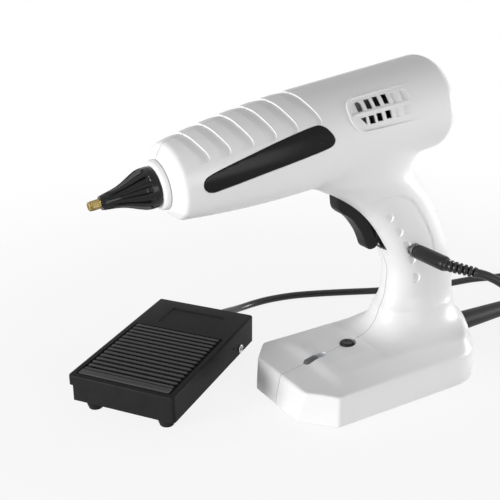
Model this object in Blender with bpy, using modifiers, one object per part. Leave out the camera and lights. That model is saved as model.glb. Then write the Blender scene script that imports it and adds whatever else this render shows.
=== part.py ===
"""Electric hot glue gun that stands on its own base, with a foot pedal, built as separate pieces.

Frame: origin under the middle of the base, +X to the rear of the gun, +Y away from the marked side, +Z up.
Units are metres. Every size below is a real size; names that end in shares hold proportions.
"""

import math

import bmesh
import bpy
import numpy as np
from mathutils import Matrix, Vector

# Clearances and counts shared by all pieces
FIT_GAP = 0.0003
RUN_GAP = 0.0004
CUT_OVERRUN = 0.002
MERGE = 0.00001
ROUND_STEPS = 24
SMALL_STEPS = 16
TINY_STEPS = 12

# Barrel of the casing, turned about an axis that rises to the rear
BARREL_TILT = math.radians(8.0)
BARREL_FRONT_X = -0.132
BARREL_LENGTH = 0.1675
BARREL_NOSE_RADIUS = 0.0200
BARREL_RADIUS = 0.0270
BARREL_SWELL_LENGTH = 0.085
BARREL_REAR_ROUND = 0.0075
BARREL_NOSE_ROUND = 0.0015
NOSE_SEAT_RADIUS = 0.0134
NOSE_CHAMFER = 0.0050
SHELL_WALL = 0.0024
SEAM_GAP = 0.0003

# Base, handle and neck of the casing: level outlines from the floor up
BASE_HALF_LENGTH = 0.0675
BASE_HALF_WIDTH = 0.0400
HANDLE_TOP_HEIGHT = 0.1500
BARREL_FRONT_DROP = 0.0031
BARREL_FRONT_Z = HANDLE_TOP_HEIGHT - BARREL_FRONT_DROP
OUTLINE_STEPS = 4
# rows: height, front, front arc centre, half width, rear arc centre, rear, front power, rear power
LEVEL_SHARES = [
    (0.000, -0.985, -0.44, 0.975, 0.50, 0.985, 3.6, 2.6),
    (0.008, -1.000, -0.44, 1.000, 0.50, 1.000, 3.6, 2.6),
    (0.109, -0.970, -0.43, 0.999, 0.50, 0.998, 3.6, 2.6),
    (0.126, -0.925, -0.42, 0.993, 0.50, 0.994, 3.6, 2.6),
    (0.136, -0.840, -0.39, 0.975, 0.50, 0.989, 3.6, 2.6),
    (0.147, -0.715, -0.33, 0.945, 0.50, 0.983, 3.4, 2.6),
    (0.161, -0.575, -0.22, 0.905, 0.50, 0.975, 3.2, 2.6),
    (0.181, -0.265, 0.06, 0.840, 0.50, 0.963, 3.0, 2.6),
    (0.194, -0.140, 0.15, 0.760, 0.50, 0.954, 2.8, 2.5),
    (0.217, -0.035, 0.24, 0.625, 0.50, 0.940, 2.6, 2.5),
    (0.253, 0.060, 0.36, 0.500, 0.50, 0.922, 2.4, 2.4),
    (0.300, 0.120, 0.49, 0.430, 0.51, 0.908, 2.3, 2.3),
    (0.367, 0.163, 0.53, 0.388, 0.53, 0.904, 2.3, 2.3),
    (0.453, 0.175, 0.52, 0.375, 0.52, 0.871, 2.3, 2.3),
    (0.527, 0.123, 0.47, 0.375, 0.47, 0.822, 2.3, 2.3),
    (0.600, 0.022, 0.38, 0.375, 0.38, 0.745, 2.3, 2.3),
    (0.667, -0.081, 0.29, 0.380, 0.29, 0.670, 2.3, 2.3),
    (0.740, -0.230, 0.17, 0.400, 0.17, 0.576, 2.3, 2.3),
    (0.793, -0.385, 0.07, 0.425, 0.07, 0.487, 2.3, 2.3),
    (0.847, -0.593, -0.08, 0.462, -0.08, 0.382, 2.3, 2.3),
    (0.893, -0.800, -0.24, 0.500, -0.24, 0.304, 2.3, 2.3),
    (0.947, -0.860, -0.30, 0.525, -0.30, 0.274, 2.3, 2.3),
    (1.000, -0.740, -0.30, 0.500, -0.30, 0.150, 2.3, 2.3),
]
CAVITY_ROW_PICKS = (1, 2, 4, 6, 7, 8, 9, 10, 12, 14, 16, 18, 20, 22)
ROOF_ROWS = (2, 10)

# Rear hump over the mains lead
HUMP_RADIUS = 0.0172
HUMP_ROUND = 0.0060
HUMP_SEAT = 0.0235
HUMP_OVERHANG = 0.0030
HUMP_START_X = BASE_HALF_LENGTH - HUMP_SEAT
HUMP_END_X = BASE_HALF_LENGTH + HUMP_OVERHANG
LEAD_HEIGHT = 0.0180

# Openings in the casing
VENT_COLUMNS = 4
VENT_PITCH = 0.0058
VENT_WIDTH = 0.0030
VENT_HEIGHT = 0.0054
VENT_START = 0.1036
VENT_UPPER = 0.0150
VENT_LOWER = 0.0084
BUTTON_X = -0.0163
BUTTON_RADIUS = 0.0042
SLIDER_X = -0.0400
SLIDER_LENGTH = 0.0160
SLIDER_WIDTH = 0.0050
SOCKET_X = 0.0188
SOCKET_HEIGHT_SHARE = 0.568667
SOCKET_Z = SOCKET_HEIGHT_SHARE * HANDLE_TOP_HEIGHT
SOCKET_RADIUS = 0.0032

# Screw bosses that cross the casing: place along the barrel and height over its axis, in barrel sizes
BOSS_RADIUS = 0.0032
SCREW_RADIUS = 0.0013
SCREW_HEAD_RADIUS = 0.0026
SCREW_HEAD_HEIGHT = 0.0018
SCREW_LENGTH = 0.0160
BARREL_BOSS_SHARES = {"front": (0.24, -0.69), "rear": (0.90, 0.72)}
# Bosses in the handle: place along the base's half length and height over the handle's
HANDLE_BOSS_SHARES = {"handle": (0.30, 0.335)}
SCREW_SEAT_SHARE = 0.30

# Nozzle group, measured along the barrel axis from the barrel's front edge
COLLAR_RADIUS = 0.0130
COLLAR_BORE = 0.0062
COLLAR_LENGTH = 0.0030
CAP_FRONT = -0.0365
CAP_REAR_RADIUS = 0.0105
CAP_FRONT_RADIUS = 0.0034
CAP_FLUTES = 10
# Flute's half width and depth as shares of the cap's radius there
CAP_FLUTE_WIDTH_SHARE = 0.26
CAP_FLUTE_DEPTH_SHARE = 0.12
# Cap's side from front to rear, as shares of its radius range and of its length
CAP_PROFILE_SHARES = [(0.0, 0.0), (0.225, 0.30), (0.394, 0.44), (0.747, 0.64), (0.930, 0.77), (1.0, 0.89), (0.96, 1.0)]
CAP_FLUTE_SHARES = [(0.225, 0.30), (0.394, 0.44), (0.747, 0.64), (0.930, 0.77), (1.20, 0.84)]
CAP_STEPS = 20
TIP_RADIUS = 0.0024
TIP_LENGTH = 0.0060
TIP_ORIFICE = 0.0009
TIP_STEM_RADIUS = 0.0017
TIP_STEM_LENGTH = 0.0080
STEM_RADIUS = 0.0046

# Places along the barrel that the feed and the chamber take from its rear end
FEED_SETBACK = 0.0475
CHAMBER_SETBACK = 0.0580
ROLLER_PLACE = BARREL_LENGTH - FEED_SETBACK

# Heating group
CHAMBER_FRONT = -0.0040
CHAMBER_END = ROLLER_PLACE - CHAMBER_SETBACK
CHAMBER_RADIUS = 0.0105
STICK_RADIUS = 0.0056
BAND_START = 0.0080
BAND_END_GAP = 0.0140
BAND_THICK = 0.0012
LAGGING_THICK = 0.0020
MOUNT_PLATE_THICK = 0.0025
MOUNT_PLATE_INSET = 0.0075
MOUNT_PLATE_START = CHAMBER_END - MOUNT_PLATE_INSET
SLEEVE_LENGTH = 0.0160
SLEEVE_RADIUS = 0.0085

# Feed group: rollers grip the glue stick and a geared motor turns the lower one
ROLLER_RADIUS = 0.0062
ROLLER_HALF_WIDTH = 0.0036
ROLLER_BITE_GAP = 0.0001
SHAFT_RADIUS = 0.0020
FRAME_LENGTH = 0.0300
FRAME_HALF_WIDTH = 0.0080
FRAME_PLATE = 0.0016
SHAFT_OVERHANG = 0.0010
GEARBOX_REACH = 0.0050
ARM_PIN_OFFSET = 0.0100
ARM_PIN_HEIGHT = 0.0165
ARM_PIN_RADIUS = 0.0015
ARM_THICK = 0.0014
ARM_RADIUS = 0.0030
AXLE_RADIUS = 0.0015
ARM_SPRING_WIRE = 0.0007
GEARBOX_LENGTH = 0.0220
GEARBOX_HEIGHT = 0.0190
GEARBOX_DEPTH = 0.0080
MOTOR_RADIUS = 0.0066
MOTOR_LENGTH = 0.0260
MOTOR_SIDE = 0.0151
MOTOR_DROP = 0.0080
GUIDE_RADIUS = 0.0071
INLET_FLANGE_RADIUS = 0.0105
INLET_NECK_RADIUS = 0.0088
INLET_FLANGE_THICK = 0.0016
INLET_BORE = 0.0060
INLET_DEPTH = 0.0080

# Label panel on the near side of the barrel
LABEL_STATIONS = 8
LABEL_THICK = 0.0008
LABEL_START = 0.0075
LABEL_LENGTH = 0.0760
LABEL_HEIGHT = 0.0014
LABEL_RISE = math.radians(3.4)
LABEL_SMALL_END = 0.0043
LABEL_LARGE_END = 0.0062

# Trigger group
TRIGGER_HALF_WIDTH = 0.0048
TRIGGER_ROUND = 0.0008
TRIGGER_PIVOT_X = -0.0250
TRIGGER_PIVOT_DROP = 0.0215
TRIGGER_PIVOT_Z = HANDLE_TOP_HEIGHT - TRIGGER_PIVOT_DROP
TRIGGER_PIN_RADIUS = 0.0015
TRIGGER_DROP = 0.0415
SLOT_HALF_WIDTH = 0.0054
# Opening in the casing for the lever, round its pivot in the same shares
SLOT_OUTLINE_SHARES = [(-0.60, -0.072), (-0.60, -1.06), (0.80, -1.06), (0.80, -0.69), (0.42, -0.52), (0.42, -0.072)]
PIVOT_BOSS_RADIUS = 0.0035
# Outline of the lever round its pivot, as shares of the drop from pivot to free end
TRIGGER_OUTLINE_SHARES = [
    (-0.145, -0.060), (-0.128, -0.180), (-0.104, -0.313), (-0.036, -0.390), (0.060, -0.450),
    (0.145, -0.523), (0.229, -0.624), (0.306, -0.735), (0.366, -0.855), (0.410, -0.957),
    (0.460, -1.000), (0.545, -0.995), (0.610, -0.950), (0.590, -0.860), (0.540, -0.740),
    (0.470, -0.620), (0.388, -0.520), (0.372, -0.490), (0.372, -0.300), (0.200, -0.190),
    (0.140, 0.000), (0.090, 0.095), (0.000, 0.130), (-0.090, 0.100), (-0.140, 0.020),
]
TRIGGER_SPRING_WIRE = 0.0008
TRIGGER_SPRING_TURNS = 3
SWITCH_LENGTH = 0.0200
SWITCH_HEIGHT = 0.0080
SWITCH_HALF_WIDTH = 0.0032
SWITCH_DROP = 0.0145
SWITCH_Z = TRIGGER_PIVOT_Z - SWITCH_DROP
PLUNGER_RADIUS = 0.0012
PLUNGER_REACH = 0.0030
PLUNGER_DEPTH = 0.0020
SWITCH_TRAVEL = 0.0024
PEG_RADIUS = 0.0012
PEG_SPACING = 0.0070

# Side jack: socket in the handle, plug on the pedal cord
SOCKET_NUT_RADIUS = 0.0043
SOCKET_NUT_LENGTH = 0.0018
SOCKET_BODY_RADIUS = 0.0044
SOCKET_DEPTH = 0.0110
JACK_PIN_RADIUS = 0.0018
JACK_PIN_LENGTH = 0.0120
GRIP_RADIUS = 0.0044
GRIP_NECK_RADIUS = 0.0037
GRIP_LENGTH = 0.0200
RELIEF_RADIUS = 0.0033
RELIEF_END_RADIUS = 0.0029
RELIEF_GROOVE = 0.0006
RELIEF_RIBS = 6

# Controls and circuit in the base
BUTTON_RISE = 0.0008
BUTTON_FLANGE_DROP = 0.0042
BUTTON_TRAVEL = 0.0012
BUTTON_FLANGE_RADIUS = 0.0050
BUTTON_STEM_RADIUS = 0.0020
POWER_SWITCH_HALF = 0.0055
KNOB_LENGTH = 0.0092
KNOB_HEIGHT = 0.0016
KNOB_RISE = 0.0004
KNOB_STEM_HALF = 0.0006
SLIDER_PLATE_THICK = 0.0012
SLIDER_TRAVEL = 0.0050
MODE_SWITCH_LENGTH = 0.0180
MODE_SWITCH_HALF_WIDTH = 0.0040
MODE_SWITCH_HEIGHT = 0.0050
PLATE_THICK = 0.0025
BOARD_THICK = 0.0016
BOARD_LENGTH = 0.0620
BOARD_WIDTH = 0.0520
BOARD_X = 0.0080
BOARD_POST_HEIGHT = 0.0030
PAD_LENGTH = 0.0900
PAD_WIDTH = 0.0400
PAD_THICK = 0.0014
FOOT_SCREW_X = 0.0250
FOOT_SCREW_Y = 0.0325
FOOT_SCREW_DEPTH = 0.0130
BOARD_PART_HEIGHT = 0.0100
# Boxes on the board: place and size as shares of the board, height as a share of the part height
BOARD_PART_SHARES = [
    (0.55, 0.55, 0.26, 0.34, 1.0), (0.84, -0.06, 0.10, 0.26, 0.38), (0.10, -0.72, 0.20, 0.16, 0.9),
    (0.05, 0.70, 0.12, 0.20, 0.5),
]
# Round cans on the board: place as shares of the board, radius and height as shares of the part height
BOARD_CAN_SHARES = [(0.55, -0.45, 0.42, 0.95), (0.20, 0.10, 0.32, 0.8), (-0.10, -0.30, 0.25, 0.7)]

# Mains lead: boot, stretch, coil and plug
LEAD_RADIUS = 0.0035
BOOT_START_RADIUS = 0.0064
BOOT_END_RADIUS = 0.0046
BOOT_LENGTH = 0.0580
BOOT_FLANGE_RADIUS = 0.0066
BOOT_FLANGE_THICK = 0.0020
BOOT_NECK_RADIUS = 0.0050
LEAD_COIL_CENTRE = (0.212, -0.0590)
LEAD_COIL_RADIUS = 0.0515
LEAD_COIL_TURNS = 6.5
PLUG_LENGTH = 0.0340
PLUG_HALF_WIDTH = 0.0125
PLUG_HALF_HEIGHT = 0.0070
PLUG_ROUND = 0.0030
PLUG_PIN_RADIUS = 0.0020
PLUG_PIN_LENGTH = 0.0190
PLUG_PIN_SPACING = 0.0190

# Pedal: its frame stands at the pedal's middle, +X to its hinge end
PEDAL_X = -0.1083
PEDAL_Y = 0.0596
PEDAL_TURN = math.radians(35.2)
PEDAL_LENGTH = 0.1100
PEDAL_WIDTH = 0.0680
PEDAL_TOP_Z = 0.0250
PEDAL_TOP_RISE = 0.0020
PEDAL_SKIRT_Z = 0.0090
PEDAL_NOTCH_Z = 0.0185
PEDAL_NOTCH = 0.0030
PEDAL_WALL = 0.0020
PEDAL_SIDE_GAP = 0.0010
PEDAL_BASE_Z = 0.0080
PEDAL_TRAY_FLOOR = 0.0025
PEDAL_TRAY_TOP = 0.0165
PEDAL_RIB_PITCH = 0.0042
PEDAL_RIB_RADIUS = 0.0015
PEDAL_WIDE_RIB = 0.0050
PEDAL_RIB_INSET = 0.0100
PEDAL_RIB_START = PEDAL_LENGTH / 2 - PEDAL_RIB_INSET
PEDAL_BARE_LENGTH = 0.0412
PEDAL_RIB_COUNT = round((PEDAL_LENGTH - PEDAL_RIB_INSET - PEDAL_BARE_LENGTH) / PEDAL_RIB_PITCH) + 1
PEDAL_RIB_LENGTH = 0.0600
PEDAL_FIELD_DEPTH = 0.0008
PEDAL_FIELD_MARGIN = 0.0015
PEDAL_PLATE_RECESS = 0.0006
PEDAL_PLATE_LENGTH = 0.0210
PEDAL_PLATE_WIDTH = 0.0370
PEDAL_PLATE_INSET = 0.0211
PEDAL_PLATE_X = PEDAL_LENGTH / 2 - PEDAL_PLATE_INSET
PEDAL_PIN_INSET = 0.0207
PEDAL_PIN_X = PEDAL_LENGTH / 2 - PEDAL_PIN_INSET
PEDAL_PIN_Z = 0.0125
PEDAL_PIN_RADIUS = 0.0015
PEDAL_PIN_HEAD_RADIUS = 0.0028
PEDAL_PIN_HEAD = 0.0010
PEDAL_TRAVEL = math.radians(3.0)
PEDAL_SPRING_X = -0.0250
PEDAL_SPRING_RADIUS = 0.0055
PEDAL_SPRING_WIRE = 0.0010
PEDAL_SPRING_TURNS = 4
PEDAL_SWITCH_X = 0.0100
PEDAL_SWITCH_Y = 0.0060
PEDAL_PLUNGER_REACH = 0.0022
PEDAL_SWITCH_HEIGHT = 0.0062
PEDAL_POST_RADIUS = 0.0025
PEDAL_FOOT_RADIUS = 0.0062
PEDAL_FOOT_TIP_RADIUS = 0.0040
PEDAL_FOOT_INSET = 0.0075
GLAND_RADIUS = 0.0042
GLAND_END_RADIUS = 0.0034
GLAND_LENGTH = 0.0110
GLAND_NECK_RADIUS = 0.0032
GLAND_Z = 0.0130

# Pedal cord: from the gland along the floor, a coil, and back up to the plug
CORD_RADIUS = 0.0025
CORD_COIL_CENTRE = (0.250, 0.0300)
CORD_COIL_RADIUS = 0.0345
CORD_COIL_TURNS = 4.25
COIL_TURN_GAP = 0.0007
LOOP_POINTS = 24
CORD_STEP_DIAMETERS = 3.0
CORD_RUN_ROUTE = [
    (-0.0563, 0.0962, 0.0130), (-0.0520, 0.0993, 0.0129), (-0.0440, 0.1048, 0.0115), (-0.0350, 0.1107, 0.0086),
    (-0.0255, 0.1165, 0.0055), (-0.0160, 0.1210, 0.0034), (-0.0060, 0.1238, 0.0026), (0.0080, 0.1240, 0.0025),
    (0.0260, 0.1205, 0.0025), (0.0450, 0.1135, 0.0025), (0.0650, 0.1045, 0.0025), (0.0850, 0.0950, 0.0025),
    (0.1050, 0.0870, 0.0025), (0.1250, 0.0800, 0.0025), (0.1450, 0.0760, 0.0025), (0.1630, 0.0730, 0.0025),
    (0.1800, 0.0675, 0.0025), (0.1960, 0.0630, 0.0025), (0.2140, 0.0615, 0.0025), (0.2320, 0.0640, 0.0025),
    (0.2447, 0.0645, 0.0025),
]
CORD_TAIL_ROUTE = [
    (0.2845, 0.0247, 0.0082), (0.2845, 0.0190, 0.0081), (0.2842, 0.0080, 0.0066), (0.2832, -0.0040, 0.0044),
    (0.2815, -0.0170, 0.0029), (0.2795, -0.0310, 0.0025), (0.2775, -0.0460, 0.0025), (0.2755, -0.0620, 0.0025),
    (0.2720, -0.0790, 0.0025), (0.2655, -0.0960, 0.0025), (0.2545, -0.1120, 0.0025), (0.2380, -0.1260, 0.0025),
    (0.2170, -0.1350, 0.0025), (0.1940, -0.1390, 0.0025), (0.1700, -0.1395, 0.0025), (0.1480, -0.1375, 0.0025),
    (0.1310, -0.1340, 0.0026), (0.1160, -0.1285, 0.0038), (0.1020, -0.1215, 0.0075), (0.0890, -0.1135, 0.0150),
    (0.0780, -0.1045, 0.0255), (0.0690, -0.0960, 0.0375), (0.0610, -0.0880, 0.0500), (0.0530, -0.0800, 0.0615),
    (0.0450, -0.0712, 0.0720), (0.0375, -0.0643, 0.0789), (0.0320, -0.0598, 0.0821), (0.0281, -0.0565, 0.0833),
]
# Relief of the plug, from the middle of the socket
RELIEF_ROUTE = [
    (0.0000, -0.0380, 0.0000), (0.0000, -0.0420, 0.0000), (0.0008, -0.0460, 0.0000), (0.0030, -0.0505, -0.0003),
    (0.0060, -0.0537, -0.0010), (0.0090, -0.0562, -0.0019),
]
LEAD_ROUTE = [
    (0.1293, 0.0000, 0.0180), (0.1365, 0.0000, 0.0179), (0.1460, -0.0001, 0.0163), (0.1560, -0.0006, 0.0128),
    (0.1660, -0.0018, 0.0090), (0.1760, -0.0038, 0.0060), (0.1855, -0.0060, 0.0042), (0.1935, -0.0072, 0.0035),
    (0.1995, -0.0075, 0.0035), (0.2047, -0.0075, 0.0035),
]
LEAD_LEAVE_ROUTE = [
    (0.2020, -0.1108, 0.0108), (0.1930, -0.1116, 0.0092), (0.1850, -0.1122, 0.0076), (0.1790, -0.1125, 0.0070),
    (0.1740, -0.1125, 0.0070),
]


# Helpers for objects, materials and modelling


def clear_scene():
    """Start from nothing."""
    for item in list(bpy.data.objects):
        bpy.data.objects.remove(item, do_unlink=True)


clear_scene()
PART = bpy.data.collections.new("hot_glue_gun")
CUTTERS = bpy.data.collections.new("cutters")
bpy.context.scene.collection.children.link(PART)
bpy.context.scene.collection.children.link(CUTTERS)


def finish(name, colour, roughness, metallic=0.0):
    """A plain material for one piece."""
    material = bpy.data.materials.new(name)
    material.use_nodes = True
    shader = material.node_tree.nodes["Principled BSDF"]
    shader.inputs["Base Color"].default_value = (*colour, 1.0)
    shader.inputs["Roughness"].default_value = roughness
    shader.inputs["Metallic"].default_value = metallic
    material.diffuse_color = (*colour, 1.0)
    return material


WHITE = ((0.86, 0.86, 0.86), 0.30)
BLACK = ((0.018, 0.018, 0.019), 0.35)
MATT_BLACK = ((0.025, 0.025, 0.026), 0.55)
RUBBER = ((0.03, 0.03, 0.03), 0.75)
BRASS = ((0.62, 0.47, 0.20), 0.30, 1.0)
STEEL = ((0.62, 0.62, 0.63), 0.30, 1.0)
ALUMINIUM = ((0.78, 0.78, 0.79), 0.35, 1.0)
GREY = ((0.30, 0.30, 0.31), 0.40)
BOARD_GREEN = ((0.03, 0.20, 0.08), 0.45)
LAGGING = ((0.75, 0.72, 0.62), 0.80)
SILICONE = ((0.70, 0.28, 0.16), 0.60)
CLEAR = ((0.80, 0.88, 0.92), 0.18)


def frame_empty(name, place, turn):
    """An empty that carries the pieces of one sub-assembly."""
    empty = bpy.data.objects.new(name, None)
    empty.location = place
    empty.rotation_euler = turn
    PART.objects.link(empty)
    return empty


def keep(name, mesh, look=None, parent=None, cutter=False):
    """Link a mesh as a named piece, or as a cutter."""
    item = bpy.data.objects.new(name, mesh)
    (CUTTERS if cutter else PART).objects.link(item)
    item.parent = parent
    if cutter:
        item.hide_render = True
        item.display_type = "WIRE"
    else:
        mesh.materials.clear()
        mesh.materials.append(finish(name + "_finish", *look))
        mesh.shade_smooth()
        mesh.set_sharp_from_angle(angle=math.radians(40.0))
    return item


def baked(item):
    """The evaluated mesh of an object, in its own space."""
    bpy.context.view_layer.update()
    graph = bpy.context.evaluated_depsgraph_get()
    mesh = bpy.data.meshes.new_from_object(item.evaluated_get(graph))
    work = bmesh.new()
    work.from_mesh(mesh)
    bmesh.ops.remove_doubles(work, verts=work.verts, dist=MERGE)
    work.to_mesh(mesh)
    work.free()
    return mesh


def block(size, centre=(0.0, 0.0, 0.0), turn=None):
    """A box mesh with its size applied."""
    work = bmesh.new()
    bmesh.ops.create_cube(work, size=1.0)
    bmesh.ops.scale(work, vec=size, verts=work.verts)
    if turn is not None:
        bmesh.ops.rotate(work, matrix=turn, verts=work.verts)
    bmesh.ops.translate(work, vec=centre, verts=work.verts)
    mesh = bpy.data.meshes.new("block")
    work.to_mesh(mesh)
    work.free()
    return mesh


def rod(radius, start, end, steps=TINY_STEPS, end_radius=None):
    """A round bar or cone between two points."""
    start, end = Vector(start), Vector(end)
    work = bmesh.new()
    reach = end - start
    bmesh.ops.create_cone(work, cap_ends=True, segments=steps, radius1=radius,
                          radius2=radius if end_radius is None else end_radius, depth=reach.length)
    bmesh.ops.rotate(work, matrix=reach.to_track_quat("Z", "Y").to_matrix(), verts=work.verts)
    bmesh.ops.translate(work, vec=(start + end) / 2, verts=work.verts)
    mesh = bpy.data.meshes.new("rod")
    work.to_mesh(mesh)
    work.free()
    return mesh


def gathered(meshes):
    """Several separate bodies as one mesh."""
    work = bmesh.new()
    for mesh in meshes:
        work.from_mesh(mesh)
    mesh = bpy.data.meshes.new("group")
    work.to_mesh(mesh)
    work.free()
    return mesh


def turned(profile, steps=ROUND_STEPS, closed=False):
    """Turn a profile of (radius, place along Z) about Z; it runs down its outer side from the top."""
    mesh = bpy.data.meshes.new("profile")
    count = len(profile)
    edges = [(i, (i + 1) % count) for i in range(count if closed else count - 1)]
    mesh.from_pydata([(radius, 0.0, place) for radius, place in profile], edges, [])
    item = keep("turned", mesh, cutter=True)
    screw = item.modifiers.new("screw", "SCREW")
    screw.axis = "Z"
    screw.steps = steps
    screw.render_steps = steps
    screw.use_merge_vertices = True
    screw.merge_threshold = MERGE
    result = baked(item)
    bpy.data.objects.remove(item)
    return result


def aimed(mesh, matrix):
    """Move a mesh by a matrix."""
    mesh.transform(matrix)
    return mesh


ALONG_X = Matrix.Rotation(math.radians(90.0), 4, "Y")
ALONG_MINUS_Y = Matrix.Rotation(math.radians(90.0), 4, "X")


def plate(outline, thickness, across="Y"):
    """A flat outline of (first, second) points with an even thickness about its plane."""
    data = bpy.data.curves.new("outline", "CURVE")
    data.dimensions = "2D"
    data.fill_mode = "BOTH"
    data.extrude = thickness / 2
    spline = data.splines.new("POLY")
    spline.points.add(len(outline) - 1)
    for point, (first, second) in zip(spline.points, outline):
        point.co = (first, second, 0.0, 1.0)
    spline.use_cyclic_u = True
    item = bpy.data.objects.new("outline", data)
    CUTTERS.objects.link(item)
    mesh = baked(item)
    bpy.data.objects.remove(item)
    if across == "Y":
        mesh.transform(Matrix.Rotation(math.radians(90.0), 4, "X"))
    return mesh


def tube(points, radius, sides=2, radii=None, cyclic=False):
    """A round tube along points, with filled and welded caps."""
    data = bpy.data.curves.new("route", "CURVE")
    data.dimensions = "3D"
    data.bevel_depth = radius
    data.bevel_resolution = sides
    data.use_fill_caps = not cyclic
    data.twist_mode = "Z_UP" if cyclic else "MINIMUM"
    spline = data.splines.new("POLY")
    spline.points.add(len(points) - 1)
    for index, (point, place) in enumerate(zip(spline.points, points)):
        point.co = (*place, 1.0)
        point.radius = 1.0 if radii is None else radii[index] / radius
    spline.use_cyclic_u = cyclic
    item = bpy.data.objects.new("route", data)
    CUTTERS.objects.link(item)
    mesh = baked(item)
    bpy.data.objects.remove(item)
    return mesh


def loft(rings):
    """Skin a stack of rings with equal counts, closed by a face at each end."""
    work = bmesh.new()
    rows = [[work.verts.new(place) for place in ring] for ring in rings]
    count = len(rows[0])
    for low, high in zip(rows, rows[1:]):
        for i in range(count):
            j = (i + 1) % count
            work.faces.new((low[i], low[j], high[j], high[i]))
    work.faces.new(list(reversed(rows[0])))
    work.faces.new(rows[-1])
    bmesh.ops.recalc_face_normals(work, faces=work.faces)
    mesh = bpy.data.meshes.new("loft")
    work.to_mesh(mesh)
    work.free()
    return mesh


def shaped(item, operation, *meshes, solver="EXACT"):
    """Join meshes to an object, or cut them from it, one after another, in the object's own space."""
    for mesh in meshes:
        tool = keep("tool", mesh, parent=item.parent, cutter=True)
        tool.matrix_basis = item.matrix_basis
        change = item.modifiers.new(operation.lower(), "BOOLEAN")
        change.operation = operation
        change.solver = solver
        change.object = tool
        result = baked(item)
        item.modifiers.remove(change)
        old = item.data
        materials = [slot for slot in old.materials]
        item.data = result
        result.materials.clear()
        for material in materials:
            result.materials.append(material)
        bpy.data.meshes.remove(old)
        bpy.data.objects.remove(tool)
    return item


def softened(item, width, segments=1, angle=35.0):
    """Round the sharp edges of an object."""
    bevel = item.modifiers.new("edges", "BEVEL")
    bevel.width = width
    bevel.segments = segments
    bevel.limit_method = "ANGLE"
    bevel.angle_limit = math.radians(angle)
    return item


def bored(radius, bore, low, high, steps=ROUND_STEPS):
    """A plain ring along Z."""
    return turned([(radius, high), (radius, low), (bore, low), (bore, high)], steps, closed=True)


def smooth_route(route, step):
    """Points at an even step on a smooth curve through a route."""
    points = [Vector(place) for place in route]
    ends = [points[0] * 2 - points[1], *points, points[-1] * 2 - points[-2]]
    fine = []
    for before, start, end, after in zip(ends, ends[1:], ends[2:], ends[3:]):
        for part in np.linspace(0.0, 1.0, 12, endpoint=False):
            t = float(part)
            fine.append(0.5 * (2 * start + (end - before) * t
                               + (2 * before - 5 * start + 4 * end - after) * t * t
                               + (3 * start - before - 3 * end + after) * t ** 3))
    fine.append(points[-1])
    lengths = np.concatenate(([0.0], np.cumsum([(b - a).length for a, b in zip(fine, fine[1:])])))
    count = max(2, round(lengths[-1] / step) + 1)
    marks = np.linspace(0.0, lengths[-1], count)
    table = np.array([tuple(place) for place in fine])
    return [Vector([float(np.interp(mark, lengths, table[:, axis])) for axis in range(3)]) for mark in marks]


def coil_points(centre, outer, radius, turns, start_angle, floor):
    """A flat coil of two layers: in on the floor, up a layer in the half turn where it reverses, and out."""
    pitch = 2 * radius + COIL_TURN_GAP
    half = turns / 2
    points = []
    for index in range(round(turns * LOOP_POINTS) + 1):
        turn = index / LOOP_POINTS
        reach = outer - pitch * (half - abs(half - turn))
        climb = min(max((turn - half + 0.25) / 0.5, 0.0), 1.0)
        angle = start_angle - 2 * math.pi * turn
        points.append(Vector((centre[0] + reach * math.cos(angle), centre[1] + reach * math.sin(angle),
                              floor + radius + climb * pitch)))
    return points


def least_gap(points, radius):
    """Least clear distance between turns of one tube, measured between its points and stretches."""
    places = np.array([tuple(place) for place in points])
    starts, ends = places[:-1], places[1:]
    spans = ends - starts
    least = math.inf
    skip = LOOP_POINTS // 2
    for index, place in enumerate(places):
        share = np.clip(np.sum((place - starts) * spans, axis=1) / np.sum(spans * spans, axis=1), 0.0, 1.0)
        reach = np.linalg.norm(starts + spans * share[:, None] - place, axis=1)
        far = np.abs(np.arange(len(starts)) - index) > skip
        least = min(least, float(reach[far].min()))
    return least - 2 * radius


def straight_ends(points, radius, entry, leave):
    """Let a tube run straight for one diameter at both ends, out along two directions."""
    return [points[0] + Vector(entry) * 2 * radius, *points, points[-1] + Vector(leave) * 2 * radius]


# Outlines of the casing


def barrel_radius(place):
    """Outer radius of the barrel at a distance back from its front edge."""
    share = min(max(place / BARREL_SWELL_LENGTH, 0.0), 1.0)
    return BARREL_NOSE_RADIUS + (BARREL_RADIUS - BARREL_NOSE_RADIUS) * (1 - (1 - share) ** 2)


def barrel_profile(inset=0.0):
    """Profile of the barrel from its rear end forward, drawn in by a wall for the cavity."""
    rear = BARREL_LENGTH - inset
    corner = BARREL_REAR_ROUND - inset / 2
    profile = [(0.0, rear)]
    for step in range(4):
        angle = math.radians(30.0 * step)
        profile.append((BARREL_RADIUS - inset - corner + corner * math.sin(angle),
                        rear - corner + corner * math.cos(angle)))
    for place in np.linspace(BARREL_SWELL_LENGTH, 0.0, 5):
        profile.append((barrel_radius(float(place)) - inset, float(place) + inset / 2))
    if inset:
        profile.append((0.0, inset / 2))
        return profile
    profile.append((BARREL_NOSE_RADIUS - BARREL_NOSE_ROUND, -BARREL_NOSE_ROUND / 2))
    profile.append((NOSE_SEAT_RADIUS, -NOSE_CHAMFER))
    profile.append((0.0, -NOSE_CHAMFER))
    return profile


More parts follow.
